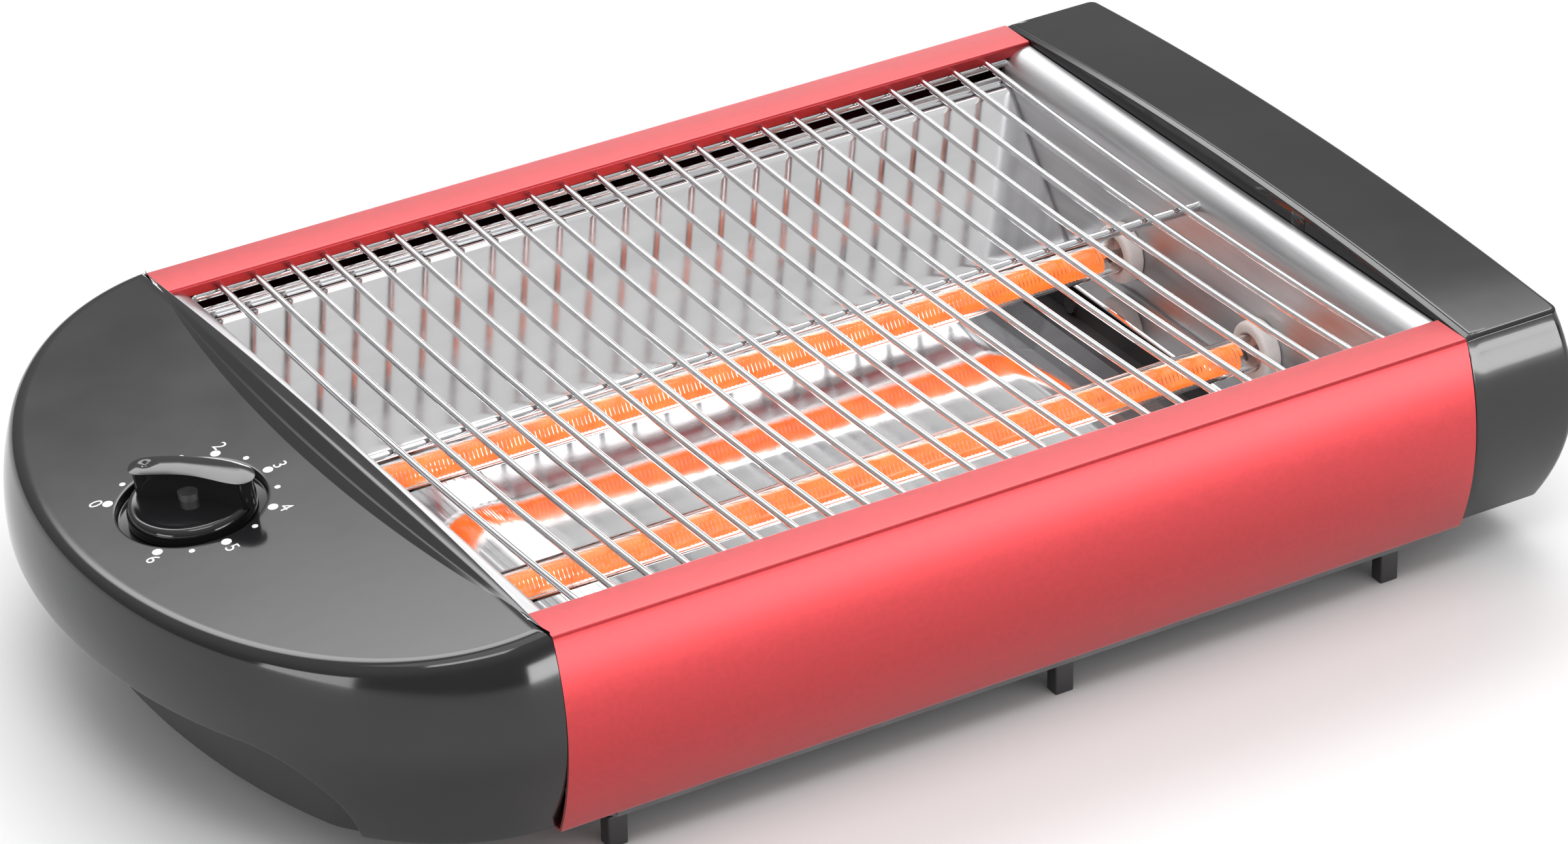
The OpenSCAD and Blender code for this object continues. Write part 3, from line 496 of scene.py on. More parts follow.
def panel(name, node, side):
    """The section along X, mirrored in Y where side is -1, as a sheet of even thickness."""
    line = panel_line()
    x = np.linspace(LEFT_FACE + PANEL_GAP, RIGHT_FACE - PANEL_GAP, 25)

    def along(section):
        y = np.broadcast_to(side * section[None, :, 0], (len(x), len(section)))
        z = np.broadcast_to(section[None, :, 1], y.shape)
        return np.stack([np.broadcast_to(x[:, None], y.shape), y, z], -1)

    nets = sheet_loft(along(line), along(thickened(line, -SHEET)))
    return make_piece(name, nets, "red_paint", stands_for=(node,))


panel("front_side_panel", "front_panel", 1)
panel("rear_side_panel", "rear_panel", -1)

# %% [markdown]
# ## Left housing
# The half-oval housing is one moulding: a flat top that falls outwards, a rounded brow,
# a barrel side with an arched hand recess, and a round pocket for the timer's knob.
# A boolean would leave messy shading, so the whole skin is one net.
# Its columns run round the plan, and its rows go from the pocket out to the brow, down the side,
# round the bottom edge and back up inside.

# %% Plan and top plane
LEFT_L = 72 * MM
LEFT_TOP = DIAL[2] + (LEFT_FACE - DIAL[0]) * math.tan(TILT)
BROW_R = 3.0 * MM
POCKET_R = 19.3 * MM
POCKET_H = 2.6 * MM
RECESS_W = 89 * MM
RECESS_H = 25 * MM
oval_angle = np.linspace(0, np.pi, 361)
back_share = np.linspace(-1, 1, 91)[1:-1]


def left_plan(u, inset=0.0):
    """Plan of the left housing at height u: a half oval grown by the swell, and a line along the bay."""
    a, b = LEFT_L + swell(u) - inset, HALF_D + swell(u) - inset
    split = len(oval_angle)
    x = np.minimum(LEFT_FACE - a[:split] * np.sin(oval_angle), LEFT_FACE - inset)
    y = b[:split] * np.cos(oval_angle)
    return (
        np.concatenate([x, np.full(len(back_share), LEFT_FACE - inset)]),
        np.concatenate([y, b[split:] * back_share]),
    )


def top_plane(x, drop=0.0):
    """Height of the sloping top at x, less a drop."""
    return LEFT_TOP - (LEFT_FACE - x) * math.tan(TILT) - drop


def height_share(z):
    return (z - UNDER_Z) / SIDE_H


def row(x, y, z):
    return np.stack([x, y, np.broadcast_to(z, x.shape)], -1)


def corner_rows(a, corner, b, steps=7):
    """Rows of a quadratic from row a to row b with the corner row as its handle."""
    t = np.linspace(0, 1, steps)[:, None, None]
    return list((1 - t) ** 2 * a + 2 * t * (1 - t) * corner + t**2 * b)


def recess_edge(y):
    """Foot of the side: flat, and raised over the hand recess, whose ends are quarter circles."""
    over = np.clip((np.abs(y) - (RECESS_W - RECESS_H)) / RECESS_H, 0, 1)
    return UNDER_Z + RECESS_H * np.sqrt(1 - over**2)


print("the top falls by", LEFT_L * math.tan(TILT) / MM, "mm over the housing")

# %% The pocket, the top and the brow
count = len(oval_angle) + len(back_share)
brow_u = np.ones(count)
for _ in range(8):
    brow_u = height_share(top_plane(left_plan(brow_u)[0]))
brow_x, brow_y = left_plan(brow_u)
brow = row(brow_x, brow_y, top_plane(brow_x))
in_plane = np.array([math.cos(TILT), 0, math.sin(TILT)])


def dial_ring(around, radius, height):
    """Each point of a row, moved to the radius and height about the dial's axis in its own direction."""
    way = around - DIAL
    angle = np.arctan2(way[:, 1], way @ in_plane)[:, None]
    return DIAL + radius * (np.cos(angle) * in_plane + np.sin(angle) * [0, 1, 0]) + height * UP


def inset_top(inset):
    x, y = left_plan(brow_u, inset)
    return row(x, y, top_plane(x))


below_x, below_y = left_plan(brow_u - BROW_R / SIDE_H)
below = row(below_x, below_y, top_plane(brow_x) - BROW_R)
support = inset_top(BROW_R + 0.5 * MM)
rim = dial_ring(support, POCKET_R + 0.5 * MM, 0)
rows = [dial_ring(support, 0, -POCKET_H), dial_ring(support, 4 * MM, -POCKET_H)]
rows += corner_rows(
    dial_ring(support, POCKET_R - 0.6 * MM, -POCKET_H),
    dial_ring(support, POCKET_R, -POCKET_H),
    dial_ring(support, POCKET_R, -POCKET_H + 0.6 * MM),
)
rows += corner_rows(dial_ring(support, POCKET_R, -0.5 * MM), dial_ring(support, POCKET_R, 0), rim)
rows += [rim + (support - rim) * t for t in (0.02, 0.25, 0.5, 0.75, 0.98)]
rows += [support] + corner_rows(inset_top(BROW_R), brow, below, 9)
print("rows of pocket, top and brow", len(rows))

# %% The side, its bottom edge and the inside
foot_z = recess_edge(brow_y)
EDGE = 0.7 * MM
for t in np.linspace(0, 1, 20)[1:]:
    z = below[:, 2] + t * (foot_z + EDGE - below[:, 2])
    x, y = left_plan(height_share(z))
    rows.append(row(x, y, z))
foot_u = height_share(foot_z)
rows += corner_rows(
    rows[-1], row(*left_plan(foot_u), foot_z), row(*left_plan(foot_u, EDGE), foot_z)
)
rows.append(row(*left_plan(foot_u, WALL), foot_z))
ceiling_x = left_plan(brow_u, WALL)[0]
ceiling_z = top_plane(ceiling_x, WALL)
for t in np.linspace(0, 1, 10)[1:]:
    z = foot_z + t * (ceiling_z - foot_z)
    x, y = left_plan(height_share(z), WALL)
    rows.append(row(x, y, z))
under_rim = dial_ring(rows[-1], POCKET_R + WALL, -WALL)
rows += [under_rim, dial_ring(under_rim, POCKET_R + WALL, -POCKET_H - WALL)]
rows.append(dial_ring(under_rim, 0, -POCKET_H - WALL))
housing_net = net(np.stack(rows), round_cols=True)
print("housing net", len(housing_net[1]), "quads")

# %% [markdown]
# ### The left rib
# A low arched rib stands between the flat top and the bay, tallest in the middle.
# Its outer face is a narrow lens that slopes to the top, with one fine step along it.
# It is a section carried along Y, whose width and height follow a parabola.

# %% Rib section carried along Y
RIB_T = 4 * MM
RIB_FOOT = 10.5 * MM
RIB_STEP = 0.5 * MM
rib_y = np.linspace(-1, 1, 121) * HALF_D * 0.995
crown = 1 - (rib_y / HALF_D) ** 2


def rib_sections():
    """Corner points of the rib at each y: low edge by the bay, foot, step, crown and bay side."""
    foot_x, crown_x = LEFT_FACE - RIB_FOOT * crown, LEFT_FACE - RIB_T * crown
    foot, top = top_plane(foot_x, 0.2 * MM), arch(rib_y)
    low = np.full_like(rib_y, LEFT_TOP - 3 * MM)
    step_x, step_z = 0.55 * foot_x + 0.45 * crown_x, 0.55 * foot + 0.45 * top
    xs = [np.full_like(rib_y, LEFT_FACE), foot_x, step_x, step_x + RIB_STEP * crown, crown_x]
    zs = [low, foot, step_z, step_z - 0.1 * MM * crown, top]
    xs.append(np.full_like(rib_y, LEFT_FACE))
    zs.append(top)
    return np.stack([np.stack([x, rib_y, z], -1) for x, z in zip(xs, zs)], 1)


rib_radii = np.outer(crown + 0.05, [0, 0, 0.15 * MM, 0.1 * MM, 0.9 * MM, 0.6 * MM])
rib_net = loft(rounded(rib_sections(), rib_radii, closed=True))
make_piece("left_housing_shell", [housing_net, rib_net], "black_gloss", stands_for=("left_housing",))

# %% [markdown]
# ### The hand recess
# Behind the arched opening stands an inner wall, set back so that fingers fit under the brow.
# It and the floor of the housing are one cover.
# The wall follows a larger oval than the housing, so the recess is deepest in the middle.

# %% Inner wall, ledge and floor
COVER_FIT = 0.3 * MM
SKIRT_L = 58.5 * MM
LEDGE_T = 1.6 * MM


def skirt_x(y, inset=0.0):
    """The recess's inner wall: an oval about the bay's end, 9 mm deeper than the housing."""
    across = HALF_D + 9 * MM - inset
    return LEFT_FACE - (SKIRT_L - inset) * np.sqrt(1 - (y / across) ** 2)


def wall_x(y, u, inset):
    """The housing's own half oval at height u, as X over y."""
    a, b = LEFT_L + swell(u) - inset, HALF_D + swell(u) - inset
    return LEFT_FACE - a * np.sqrt(np.clip(1 - (y / b) ** 2, 0, 1))


recess_y = np.linspace(-1, 1, 121) * (RECESS_W - 1 * MM)
shelf_z = UNDER_Z + RECESS_H
inside = wall_x(recess_y, 0.0, WALL + COVER_FIT)
front_x = np.maximum(skirt_x(recess_y), inside)
shelf_x = np.minimum(wall_x(recess_y, height_share(shelf_z), WALL + COVER_FIT), front_x - 0.4 * MM)
deep_x = np.minimum(front_x + WALL, LEFT_FACE - 2 * WALL)
cover_corners = [
    (front_x, UNDER_Z), (front_x, shelf_z), (shelf_x, shelf_z),
    (shelf_x, shelf_z + LEDGE_T), (deep_x, shelf_z + LEDGE_T), (deep_x, UNDER_Z),
]
cover_section = np.stack([row(x, recess_y, z) for x, z in cover_corners], 1)
cover_radii = np.array([0.6, 1.5, 0.2, 0.2, 0.6, 0.2]) * MM
cover_net = loft(rounded(cover_section, np.tile(cover_radii, (len(recess_y), 1)), closed=True))
floor_y = np.linspace(-1, 1, 81) * (HALF_D + swell(0.0) - WALL - COVER_FIT - 0.2 * MM)
floor_x = np.maximum(skirt_x(floor_y), wall_x(floor_y, 0.0, WALL + COVER_FIT))
floor_x = np.minimum(floor_x, LEFT_FACE - WALL - COVER_FIT - 0.1 * MM)
floor_end = np.full_like(floor_y, LEFT_FACE - WALL - COVER_FIT)
floor_corners = [(floor_x, UNDER_Z), (floor_x, UNDER_Z + WALL)]
floor_corners += [(floor_end, UNDER_Z + WALL), (floor_end, UNDER_Z)]
floor_net = loft(np.stack([row(x, floor_y, z) for x, z in floor_corners], 1))
make_piece("hand_recess_cover", [cover_net, floor_net], "black_matte", stands_for=("left_bottom_cover",))

# %% [markdown]
# ## Right housing
# The right cap is a long block with an arched top and a narrow bevel towards the bay.
# Its rows are rounded rectangles: up the side, over the top edge, in to the middle line,
# and a second set inside.
# A small tab on the face by the bay marks the seam between its two halves.

# %% Rounded rectangles that stop for the drawer's tunnel
RIGHT_L = 30 * MM
END_BOW = 3 * MM
END_TUCK = 1.5 * MM
CORNER_R = 3 * MM
TOP_R = 1.2 * MM
BAY_SHARE = 0.25
BEVEL_W = 1.5 * MM
BEVEL_H = 0.55 * MM
GROOVE_H = 0.2 * MM
GROOVE_W = 0.15 * MM
tray_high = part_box("crumb_tray")[1]
TUNNEL_W = tray_high.y + 1.3 * MM
TUNNEL_Z = tray_high.z + 0.8 * MM
side_edge = np.linspace(0, 1, 8)[:-1]
middle = np.linspace(-1, 1, 81)
tunnel_ys = np.concatenate([[-TUNNEL_W - 0.02 * MM], middle * TUNNEL_W, [TUNNEL_W + 0.02 * MM]])


def right_plan(u, inset, bay_share=1.0):
    """A rounded rectangle at height u. Its long sides keep fixed Y values along the tunnel."""
    half = HALF_D + swell(u) - inset
    x0 = RIGHT_FACE + bay_share * inset
    x1 = RIGHT_FACE + RIGHT_L + END_BOW * bowed(u) - END_TUCK * (1 - u) ** 2 - inset
    r = max(CORNER_R - inset, 0.02 * MM)
    r_in = max(0.6 * MM - inset, 0.01 * MM)
    quarter = np.linspace(0, np.pi / 2, 8)
    reach = half - r
    ends = tunnel_ys[-1] + side_edge[1:] * (reach - tunnel_ys[-1])
    long = np.concatenate([-ends[::-1], tunnel_ys, ends])
    short = np.linspace(x0 + r_in, x1 - r, 10)[1:-1]
    xs = [short, x1 - r + r * np.sin(quarter), np.full(len(long), x1), x1 - r + r * np.cos(quarter)]
    ys = [np.full(8, -half), -half + r - r * np.cos(quarter), long, half - r + r * np.sin(quarter)]
    xs += [short[::-1], x0 + r_in - r_in * np.sin(quarter), np.full(len(long), x0)]
    ys += [np.full(8, half), half - r_in + r_in * np.cos(quarter), long[::-1]]
    xs.append(x0 + r_in - r_in * np.cos(quarter))
    ys.append(-half + r_in - r_in * np.sin(quarter))
    return np.concatenate(xs), np.concatenate(ys)


def bevel(x):
    """How far the top falls near the bay: a narrow slope, with a fine groove behind it."""
    from_bay = x - RIGHT_FACE
    groove = GROOVE_H * np.exp(-(((from_bay - BEVEL_W - 2 * GROOVE_W) / GROOVE_W) ** 2))
    return BEVEL_H * np.clip(1 - from_bay / BEVEL_W, 0, 1) + groove


print("tunnel half width", TUNNEL_W / MM, "mm, roof at", TUNNEL_Z / MM, "mm")


# %% Rows of the right housing
def tunnel_edge(y):
    return np.where(np.abs(y) <= TUNNEL_W + 0.01 * MM, TUNNEL_Z, UNDER_Z)


def right_row(share, inset, drop, bay_share=1.0):
    """A row at a share of the height between the foot and the arched top, with the bevel taken off.
    Its edge is a share as round along the bay as it is elsewhere."""
    x, y = right_plan(share, inset, bay_share)
    away = np.clip((x - RIGHT_FACE - bay_share * inset) / (0.6 * MM), 0, 1)
    top = arch(y) - drop * (bay_share + (1 - bay_share) * away) - bevel(x)
    low = tunnel_edge(y)
    return row(x, y, low + share * (top - low))


right_rows = [right_row(t, 0.0, TOP_R, BAY_SHARE) for t in np.linspace(0, 1, 18)]
for a in np.linspace(0.2, np.pi / 2, 7):
    right_rows.append(right_row(1.0, TOP_R * (1 - math.cos(a)), TOP_R * (1 - math.sin(a)), BAY_SHARE))
for inset in (1.45, 1.5, 1.6, 1.7, 1.8, 1.9, 2.0, 2.2, 2.6, 4, 6, 9, 12, 15):
    right_rows.append(right_row(1.0, inset * MM, 0.0))
inner_rows = [right_row(t, WALL, WALL) for t in np.linspace(0, 1, 8)]
inner_rows += [right_row(1.0, inset * MM, WALL) for inset in (5, 10, 15)]
right_net = net(np.stack(inner_rows[::-1] + right_rows), round_cols=True)
seam_y = (-37 * MM, -31 * MM)
seam_top = arch(np.mean(seam_y)) - 1.3 * MM
seam_x = (RIGHT_FACE - 0.15 * MM, RIGHT_FACE + 1 * MM)
seam_tab = slab(seam_x, seam_y, (STRIP_Z - 5 * MM, seam_top), 0.12 * MM, 3)
make_piece("right_housing_shell", [right_net, seam_tab], "black_gloss", stands_for=("right_housing",))

# %% [markdown]
# ## End plates
# A bright satin plate closes each end of the bay, and its top turns outwards in a soft bend.
# The sheet is a section in X and Z carried along Y.

# %% Both end plates
PLATE_T = 1 * MM
PLATE_BEND = 8.4 * MM
PLATE_REACH = 9.2 * MM
TUNNEL_TOP = tray_high.z + 1 * MM


def end_plate(name, node, bay_x, outwards):
    """Wall, quarter bend and flange as a line in X and Z, thickened away from the bay."""
    turn = np.linspace(0, np.pi / 2, 16)
    bend = np.stack([PLATE_BEND * (1 - np.cos(turn)), PLATE_TOP - PLATE_BEND * (1 - np.sin(turn))], -1)
    wall = [[0, TUNNEL_TOP], [0, 0.5 * (TUNNEL_TOP + PLATE_TOP)]]
    line = np.concatenate([wall, bend, [[PLATE_REACH, PLATE_TOP]]])
    back = thickened(line, -PLATE_T)
    y = np.linspace(-PLATE_W, PLATE_W, 61)

    def along(section):
        x = np.broadcast_to(bay_x + outwards * section[None, :, 0], (len(y), len(section)))
        z = np.broadcast_to(section[None, :, 1], x.shape)
        return np.stack([x, np.broadcast_to(y[:, None], x.shape), z], -1)

    return make_piece(name, sheet_loft(along(line), along(back)), "satin_steel", stands_for=(node,))


end_plate("left_bay_plate", "left_end_plate", PLATE_L, -1)
end_plate("right_bay_plate", "right_end_plate", PLATE_R, 1)

# %% [markdown]
# ## Reflector
# A polished trough lies under the heaters and throws their heat up.
# Its top edges turn up, its walls slope, and its floor has a slot near each end for crumbs.
# One net follows the section, the slots are quads left out, and Solidify gives the sheet its thickness.

# %% Trough with two slots
REFLECTOR_T = 0.6 * MM
reflector_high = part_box("reflector")[1]
TROUGH_Z = reflector_high.z - REFLECTOR_T
RIM_H = 2.2 * MM
FLOOR_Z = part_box("heater_tube_front")[0].z - 6.9 * MM
RIM_Y, TROUGH_Y, FLOOR_Y = 97 * MM, 92 * MM, 62 * MM
SLOT_IN, SLOT_L, SLOT_HALF = 12 * MM, 17 * MM, 56 * MM


def reflector_sheet():
    """The section's Y and Z over a set of X values that includes the slots' edges."""
    half = [(SLOT_HALF, FLOOR_Z), (FLOOR_Y, FLOOR_Z), (TROUGH_Y, TROUGH_Z)]
    half += [(RIM_Y, TROUGH_Z), (RIM_Y, TROUGH_Z + RIM_H)]
    bend = thinned(rounded(np.array([half]), np.array([[0, 4, 1.6, 1.2, 0]]) * MM, 9)[0])
    floor = np.linspace(-SLOT_HALF, SLOT_HALF, 25)[1:-1]
    section = np.concatenate([bend[::-1] * [-1, 1], np.stack([floor, np.full(23, FLOOR_Z)], -1), bend])
    cuts = [PLATE_L, PLATE_L + SLOT_IN, PLATE_L + SLOT_IN + SLOT_L]
    cuts += [PLATE_R - SLOT_IN - SLOT_L, PLATE_R - SLOT_IN, PLATE_R]
    x = np.concatenate([np.linspace(a, b, 9)[:-1] for a, b in zip(cuts, cuts[1:])] + [[PLATE_R]])
    points = np.stack(np.broadcast_arrays(x[:, None], section[None, :, 0], section[None, :, 1]), -1)
    mid_x, mid_y = (x[1:] + x[:-1]) / 2, (section[1:, 0] + section[:-1, 0]) / 2
    in_slot = (mid_x > cuts[1]) & (mid_x < cuts[2]) | (mid_x > cuts[3]) & (mid_x < cuts[4])
    return net(points, skip=in_slot[:, None] & (np.abs(mid_y) < SLOT_HALF)[None])


trough = make_piece(
    "reflector_trough", [reflector_sheet()], "mirror_aluminium", stands_for=("reflector",), heal=False
)
wall = trough.modifiers.new("sheet", "SOLIDIFY")
wall.thickness = REFLECTOR_T
wall.offset = 0

# %% [markdown]
# ## Grill
# Two dozen bright wires cross the bay and sag a little towards the centre rod that carries them.
# Each is a thin bar along a parabola, with domed tips, welded to an edge rod at the front and rear.

# %% Wires and rods
rack_low, rack_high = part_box("grill_rack")
WIRES = 24
WIRE_R = 1 * MM
WIRE_SAG = 2.4 * MM
EDGE_ROD_R = 1.5 * MM
WIRE_END = rack_high.y
EDGE_Y = WIRE_END - 0.4 * MM
WIRE_Z = rack_high.z - WIRE_R
wire_x = np.linspace(PLATE_L + 6 * MM, PLATE_R - 6 * MM, WIRES)


def cross_wire(x):
    """A parabola over y: highest at the edge rods and lowest over the centre rod."""
    y = np.linspace(-WIRE_END + WIRE_R, WIRE_END - WIRE_R, 33)
    z = WIRE_Z - WIRE_SAG * (1 - (y / WIRE_END) ** 2)
    return tube(np.stack([np.full_like(y, x), y, z], -1), WIRE_R, sides=10)


def long_rod(y, z, radius, low, high):
    """A straight bar along X with domed ends."""
    x = np.linspace(low + radius, high - radius, 30)
    return tube(np.stack([x, np.full_like(x, y), np.full_like(x, z)], -1), radius, sides=16)


edge_z = WIRE_Z - WIRE_R - EDGE_ROD_R + 0.2 * MM
rods = [long_rod(side * EDGE_Y, edge_z, EDGE_ROD_R, rack_low.x, rack_high.x) for side in (-1, 1)]
make_piece("grill_wires", [cross_wire(x) for x in wire_x] + rods, "chrome_wire", stands_for=("grill_rack",))
rod_low, rod_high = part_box("centre_rod")
ROD_R = (rod_high.z - rod_low.z) / 2
centre = long_rod(0.0, (rod_low.z + rod_high.z) / 2, ROD_R, rod_low.x, rod_high.x)
make_piece("grill_centre_rod", [centre], "chrome_wire", stands_for=("centre_rod",))

# %% [markdown]
# ## Heaters
# Each heater is a coil of resistance wire in a clear quartz tube, held at both ends by a ceramic disc.
# The coil is a helix with real turns, so its windings show, and a dark cold lead goes on from each end.
# The discs are surfaces of revolution, with a seat for the tube.

# %% Holders
HOLDER_R = 8.5 * MM
HOLDER_T = 5 * MM
SEAT_R = 5.2 * MM
SEAT_H = 2.5 * MM
PIN_R = 1.3 * MM
NECK_R = 4.2 * MM
NECK_H = 2 * MM


def holder(name, node, y, z, bay_x, way):
    """A disc with rounded rims: out from the pin's hole at the back, round the rim, and into the seat."""
    back = [[PIN_R, -NECK_H], [NECK_R, -NECK_H], [NECK_R, 0], [HOLDER_R, 0]]
    seat = [[HOLDER_R, HOLDER_T], [SEAT_R, HOLDER_T], [SEAT_R, SEAT_H], [PIN_R, SEAT_H]]
    outline = np.array(back + seat)
    radii = np.array([0.1, 0.5, 0.2, 0.8, 1.5, 0.8, 0.3, 0.3]) * MM
    profile = rounded(outline[None], radii[None], 6, closed=True)[0]
    disc = turned(profile, np.array([bay_x, y, z]), [way, 0, 0], 56, closed=True)
    return make_piece(name, [disc], "white_ceramic", stands_for=(node,))


print("holders are", 2 * HOLDER_R / MM, "mm across")

# %% Tubes, coils and cold leads
TUBE_WALL = 0.8 * MM
COIL_R = 3.25 * MM
COIL_WIRE = 0.45 * MM
COIL_PITCH = 1.25 * MM
COIL_STEPS = 18
LEAD_R = 0.6 * MM
LEAD_TURN = 9


def heater_coil(y, z, start, stop):
    """A helix: the wire's centre turns once in each pitch, on a circle about the tube's axis."""
    turns = (stop - start) / COIL_PITCH
    angle = np.linspace(0, 2 * np.pi * turns, int(turns * COIL_STEPS))
    x = start + angle / (2 * np.pi) * COIL_PITCH
    path = np.stack([x, y + COIL_R * np.cos(angle), z + COIL_R * np.sin(angle)], -1)
    return tube(path, COIL_WIRE, sides=6, side_way=(1, 0, 0))


def cold_lead(y, z, start, stop):
    """The dark tail of the coil, which winds loosely in to the pin on a narrowing circle."""
    t = np.linspace(0, 1, 60)
    swing = COIL_R * (1 - t) ** 1.5
    x, angle = start + t * (stop - start), LEAD_TURN * t
    return tube(np.stack([x, y + swing * np.cos(angle), z + swing * np.sin(angle)], -1), LEAD_R, sides=10)


for side in ("front", "rear"):
    low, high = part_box("heater_tube_" + side)
    y, z, radius = (low.y + high.y) / 2, (low.z + high.z) / 2, (high.z - low.z) / 2
    for end, bay_x, way in (("left", PLATE_L, 1), ("right", PLATE_R, -1)):
        holder(f"{side}_{end}_holder", f"holder_{side}_{end}", y, z, bay_x, way)
    bore = radius - TUBE_WALL
    length = high.x - low.x
    glass = np.array([[bore, 0], [radius, 0], [radius, length], [bore, length]])
    glass = rounded(glass[None], np.full((1, 4), 0.35 * MM), 5, closed=True)[0]
    walls = turned(glass, np.array([low.x, y, z]), [1, 0, 0], 40, closed=True)
    make_piece(f"{side}_quartz_tube", [walls], "clear_quartz", stands_for=("heater_tube_" + side,))
    coil_low, coil_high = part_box("heater_coil_" + side)
    left, right = coil_low.x + COIL_WIRE, coil_high.x - COIL_WIRE
    windings = heater_coil(y, z, left, right)
    make_piece(f"{side}_glowing_coil", [windings], "glowing_coil", stands_for=("heater_coil_" + side,))
    tails = [cold_lead(y, z, left, PLATE_L + 4 * MM), cold_lead(y, z, right, PLATE_R - 4 * MM)]
    make_piece(f"{side}_cold_leads", tails, "dark_lead")

# %% [markdown]
# ## Timer knob
# The knob is a skirt ring in the pocket with a lever across it.
# The lever's plan is an S-shaped bar with a fuller far end and a dimple that marks its pointing tip.
# The skirt is turned, and the lever's rows are one outline raised, rounded in and gathered to a middle line.

# %% Skirt and lever
KNOB_R = 16.5 * MM
KNOB_H = 10.2 * MM
DIMPLE_H = 0.8 * MM
DIMPLE_R = 1.5 * MM
CROWN_H = 0.6 * MM
SKIRT_LOW = -2.2 * MM
SPINE_FAR, SPINE_TIP = -14, 11
SPINE_SIDE = 2.6 * MM
SPINE_LEAN = 0.19
SPINE_TURN = 2 * MM
ZERO = math.radians(140)
pointer = math.cos(ZERO) * in_plane + math.sin(ZERO) * np.array([0, 1, 0])
across = np.cross(UP, pointer)


lever_corners = [
    (14.6, -1.9), (13.4, 0.6), (8.0, 0.5), (2.5, 0.5), (-2.5, 1.3), (-7.3, 3.0),
    (-12.0, 4.9), (-15.6, 5.8), (-18.0, 4.2), (-17.4, 0.8), (-15.2, -1.2),
    (-10.3, -3.6), (-3.7, -5.2), (3.6, -6.0), (9.0, -6.0), (13.6, -5.2),
]
lever_line = thinned(rounded(np.array([lever_corners]) * MM, np.full((1, 16), 9 * MM), 9, closed=True)[0])
lever_way = np.roll(lever_line, -1, 0) - np.roll(lever_line, 1, 0)
lever_in = np.stack([lever_way[:, 1], -lever_way[:, 0]], -1)
lever_in = lever_in / np.linalg.norm(lever_way, axis=1, keepdims=True)
spine_x = MM * np.round(np.clip(lever_line[:, 0] / MM, SPINE_FAR, SPINE_TIP))
lever_spine = np.stack([spine_x, -SPINE_SIDE - SPINE_LEAN * np.minimum(spine_x, SPINE_TURN)], -1)
DIMPLE = np.array([10.9, -3.2]) * MM


def lever_row(inset, height, gather=0.0):
    """The lever's S-shaped outline, moved in along its normals, then gathered towards its middle line."""
    line = lever_line + inset * lever_in
    line = line + gather * (lever_spine - line)
    from_dimple = np.linalg.norm(line - DIMPLE, axis=1)
    lift = height - DIMPLE_H * np.exp(-((from_dimple / DIMPLE_R) ** 2)) * (gather > 0 and height > 5 * MM)
    return DIAL + line[:, :1] * pointer + line[:, 1:] * across + lift[:, None] * UP


lever_rows = [lever_row(0, 1.2 * MM, 1), lever_row(0, 1.2 * MM)]
lever_rows += [lever_row(0, 2.2 * MM + t * (KNOB_H - 3.7 * MM)) for t in np.linspace(0, 1, 8)]
ROUND = 0.9 * MM
for angle in np.linspace(0.2, np.pi / 2, 7):
    inset, drop = ROUND * (1 - math.cos(angle)), ROUND * (1 - math.sin(angle))
    lever_rows.append(lever_row(inset, KNOB_H - CROWN_H - drop))
for gather in np.linspace(0.04, 1, 22):
    lever_rows.append(lever_row(ROUND, KNOB_H - CROWN_H * (1 - gather) ** 2, gather))
lever_net = net(np.stack(lever_rows), round_cols=True)
skirt_side = [[0, SKIRT_LOW], [KNOB_R, SKIRT_LOW], [KNOB_R, 0.7 * MM]]
skirt_top = [[15.4 * MM, 2.3 * MM], [13.6 * MM, 2.0 * MM], [0, 1.9 * MM]]
skirt = np.array(skirt_side + skirt_top)
skirt = rounded(skirt[None], np.array([[0, 0.3, 1.2, 0.9, 0.6, 0]]) * MM, 7)[0]
skirt_net = turned(skirt, DIAL, UP, 96)
knob_nets = [skirt_net, lever_net]
make_piece("timer_knob_lever", knob_nets, "black_gloss", "timer_dial", stands_for=("timer_knob",))

# %% [markdown]
# ## Dial print
# Thirteen white dots run clockwise round the knob from nought to six minutes.
# Every other dot is large and has a figure, and all figures face a reader at the left end.
# Dots are very flat turned discs, and the figures are text made into a mesh.

# %% Dots
MARKS = 13
TURN_DEGREES = 280
STEP = math.radians(TURN_DEGREES / (MARKS - 1))
BIG_DOT, SMALL_DOT = 1.35 * MM, 0.8 * MM
FIGURE_SIZE = 5.2 * MM
DOT_REACH = 21.8 * MM
FIGURE_REACH = 25.1 * MM
PRINT_H = 0.04 * MM


def dial_point(angle, radius, height=0.0):
    return DIAL + radius * (math.cos(angle) * in_plane + math.sin(angle) * np.array([0, 1, 0])) + height * UP


dots = []
for mark in range(MARKS):
    size = BIG_DOT if mark % 2 == 0 else SMALL_DOT
    disc = np.array([[0, -PRINT_H], [size, -PRINT_H], [size, PRINT_H], [0, PRINT_H]])
    dots.append(turned(disc, dial_point(ZERO - mark * STEP, DOT_REACH), UP, 28))
make_piece("dial_dots", dots, "dial_print")


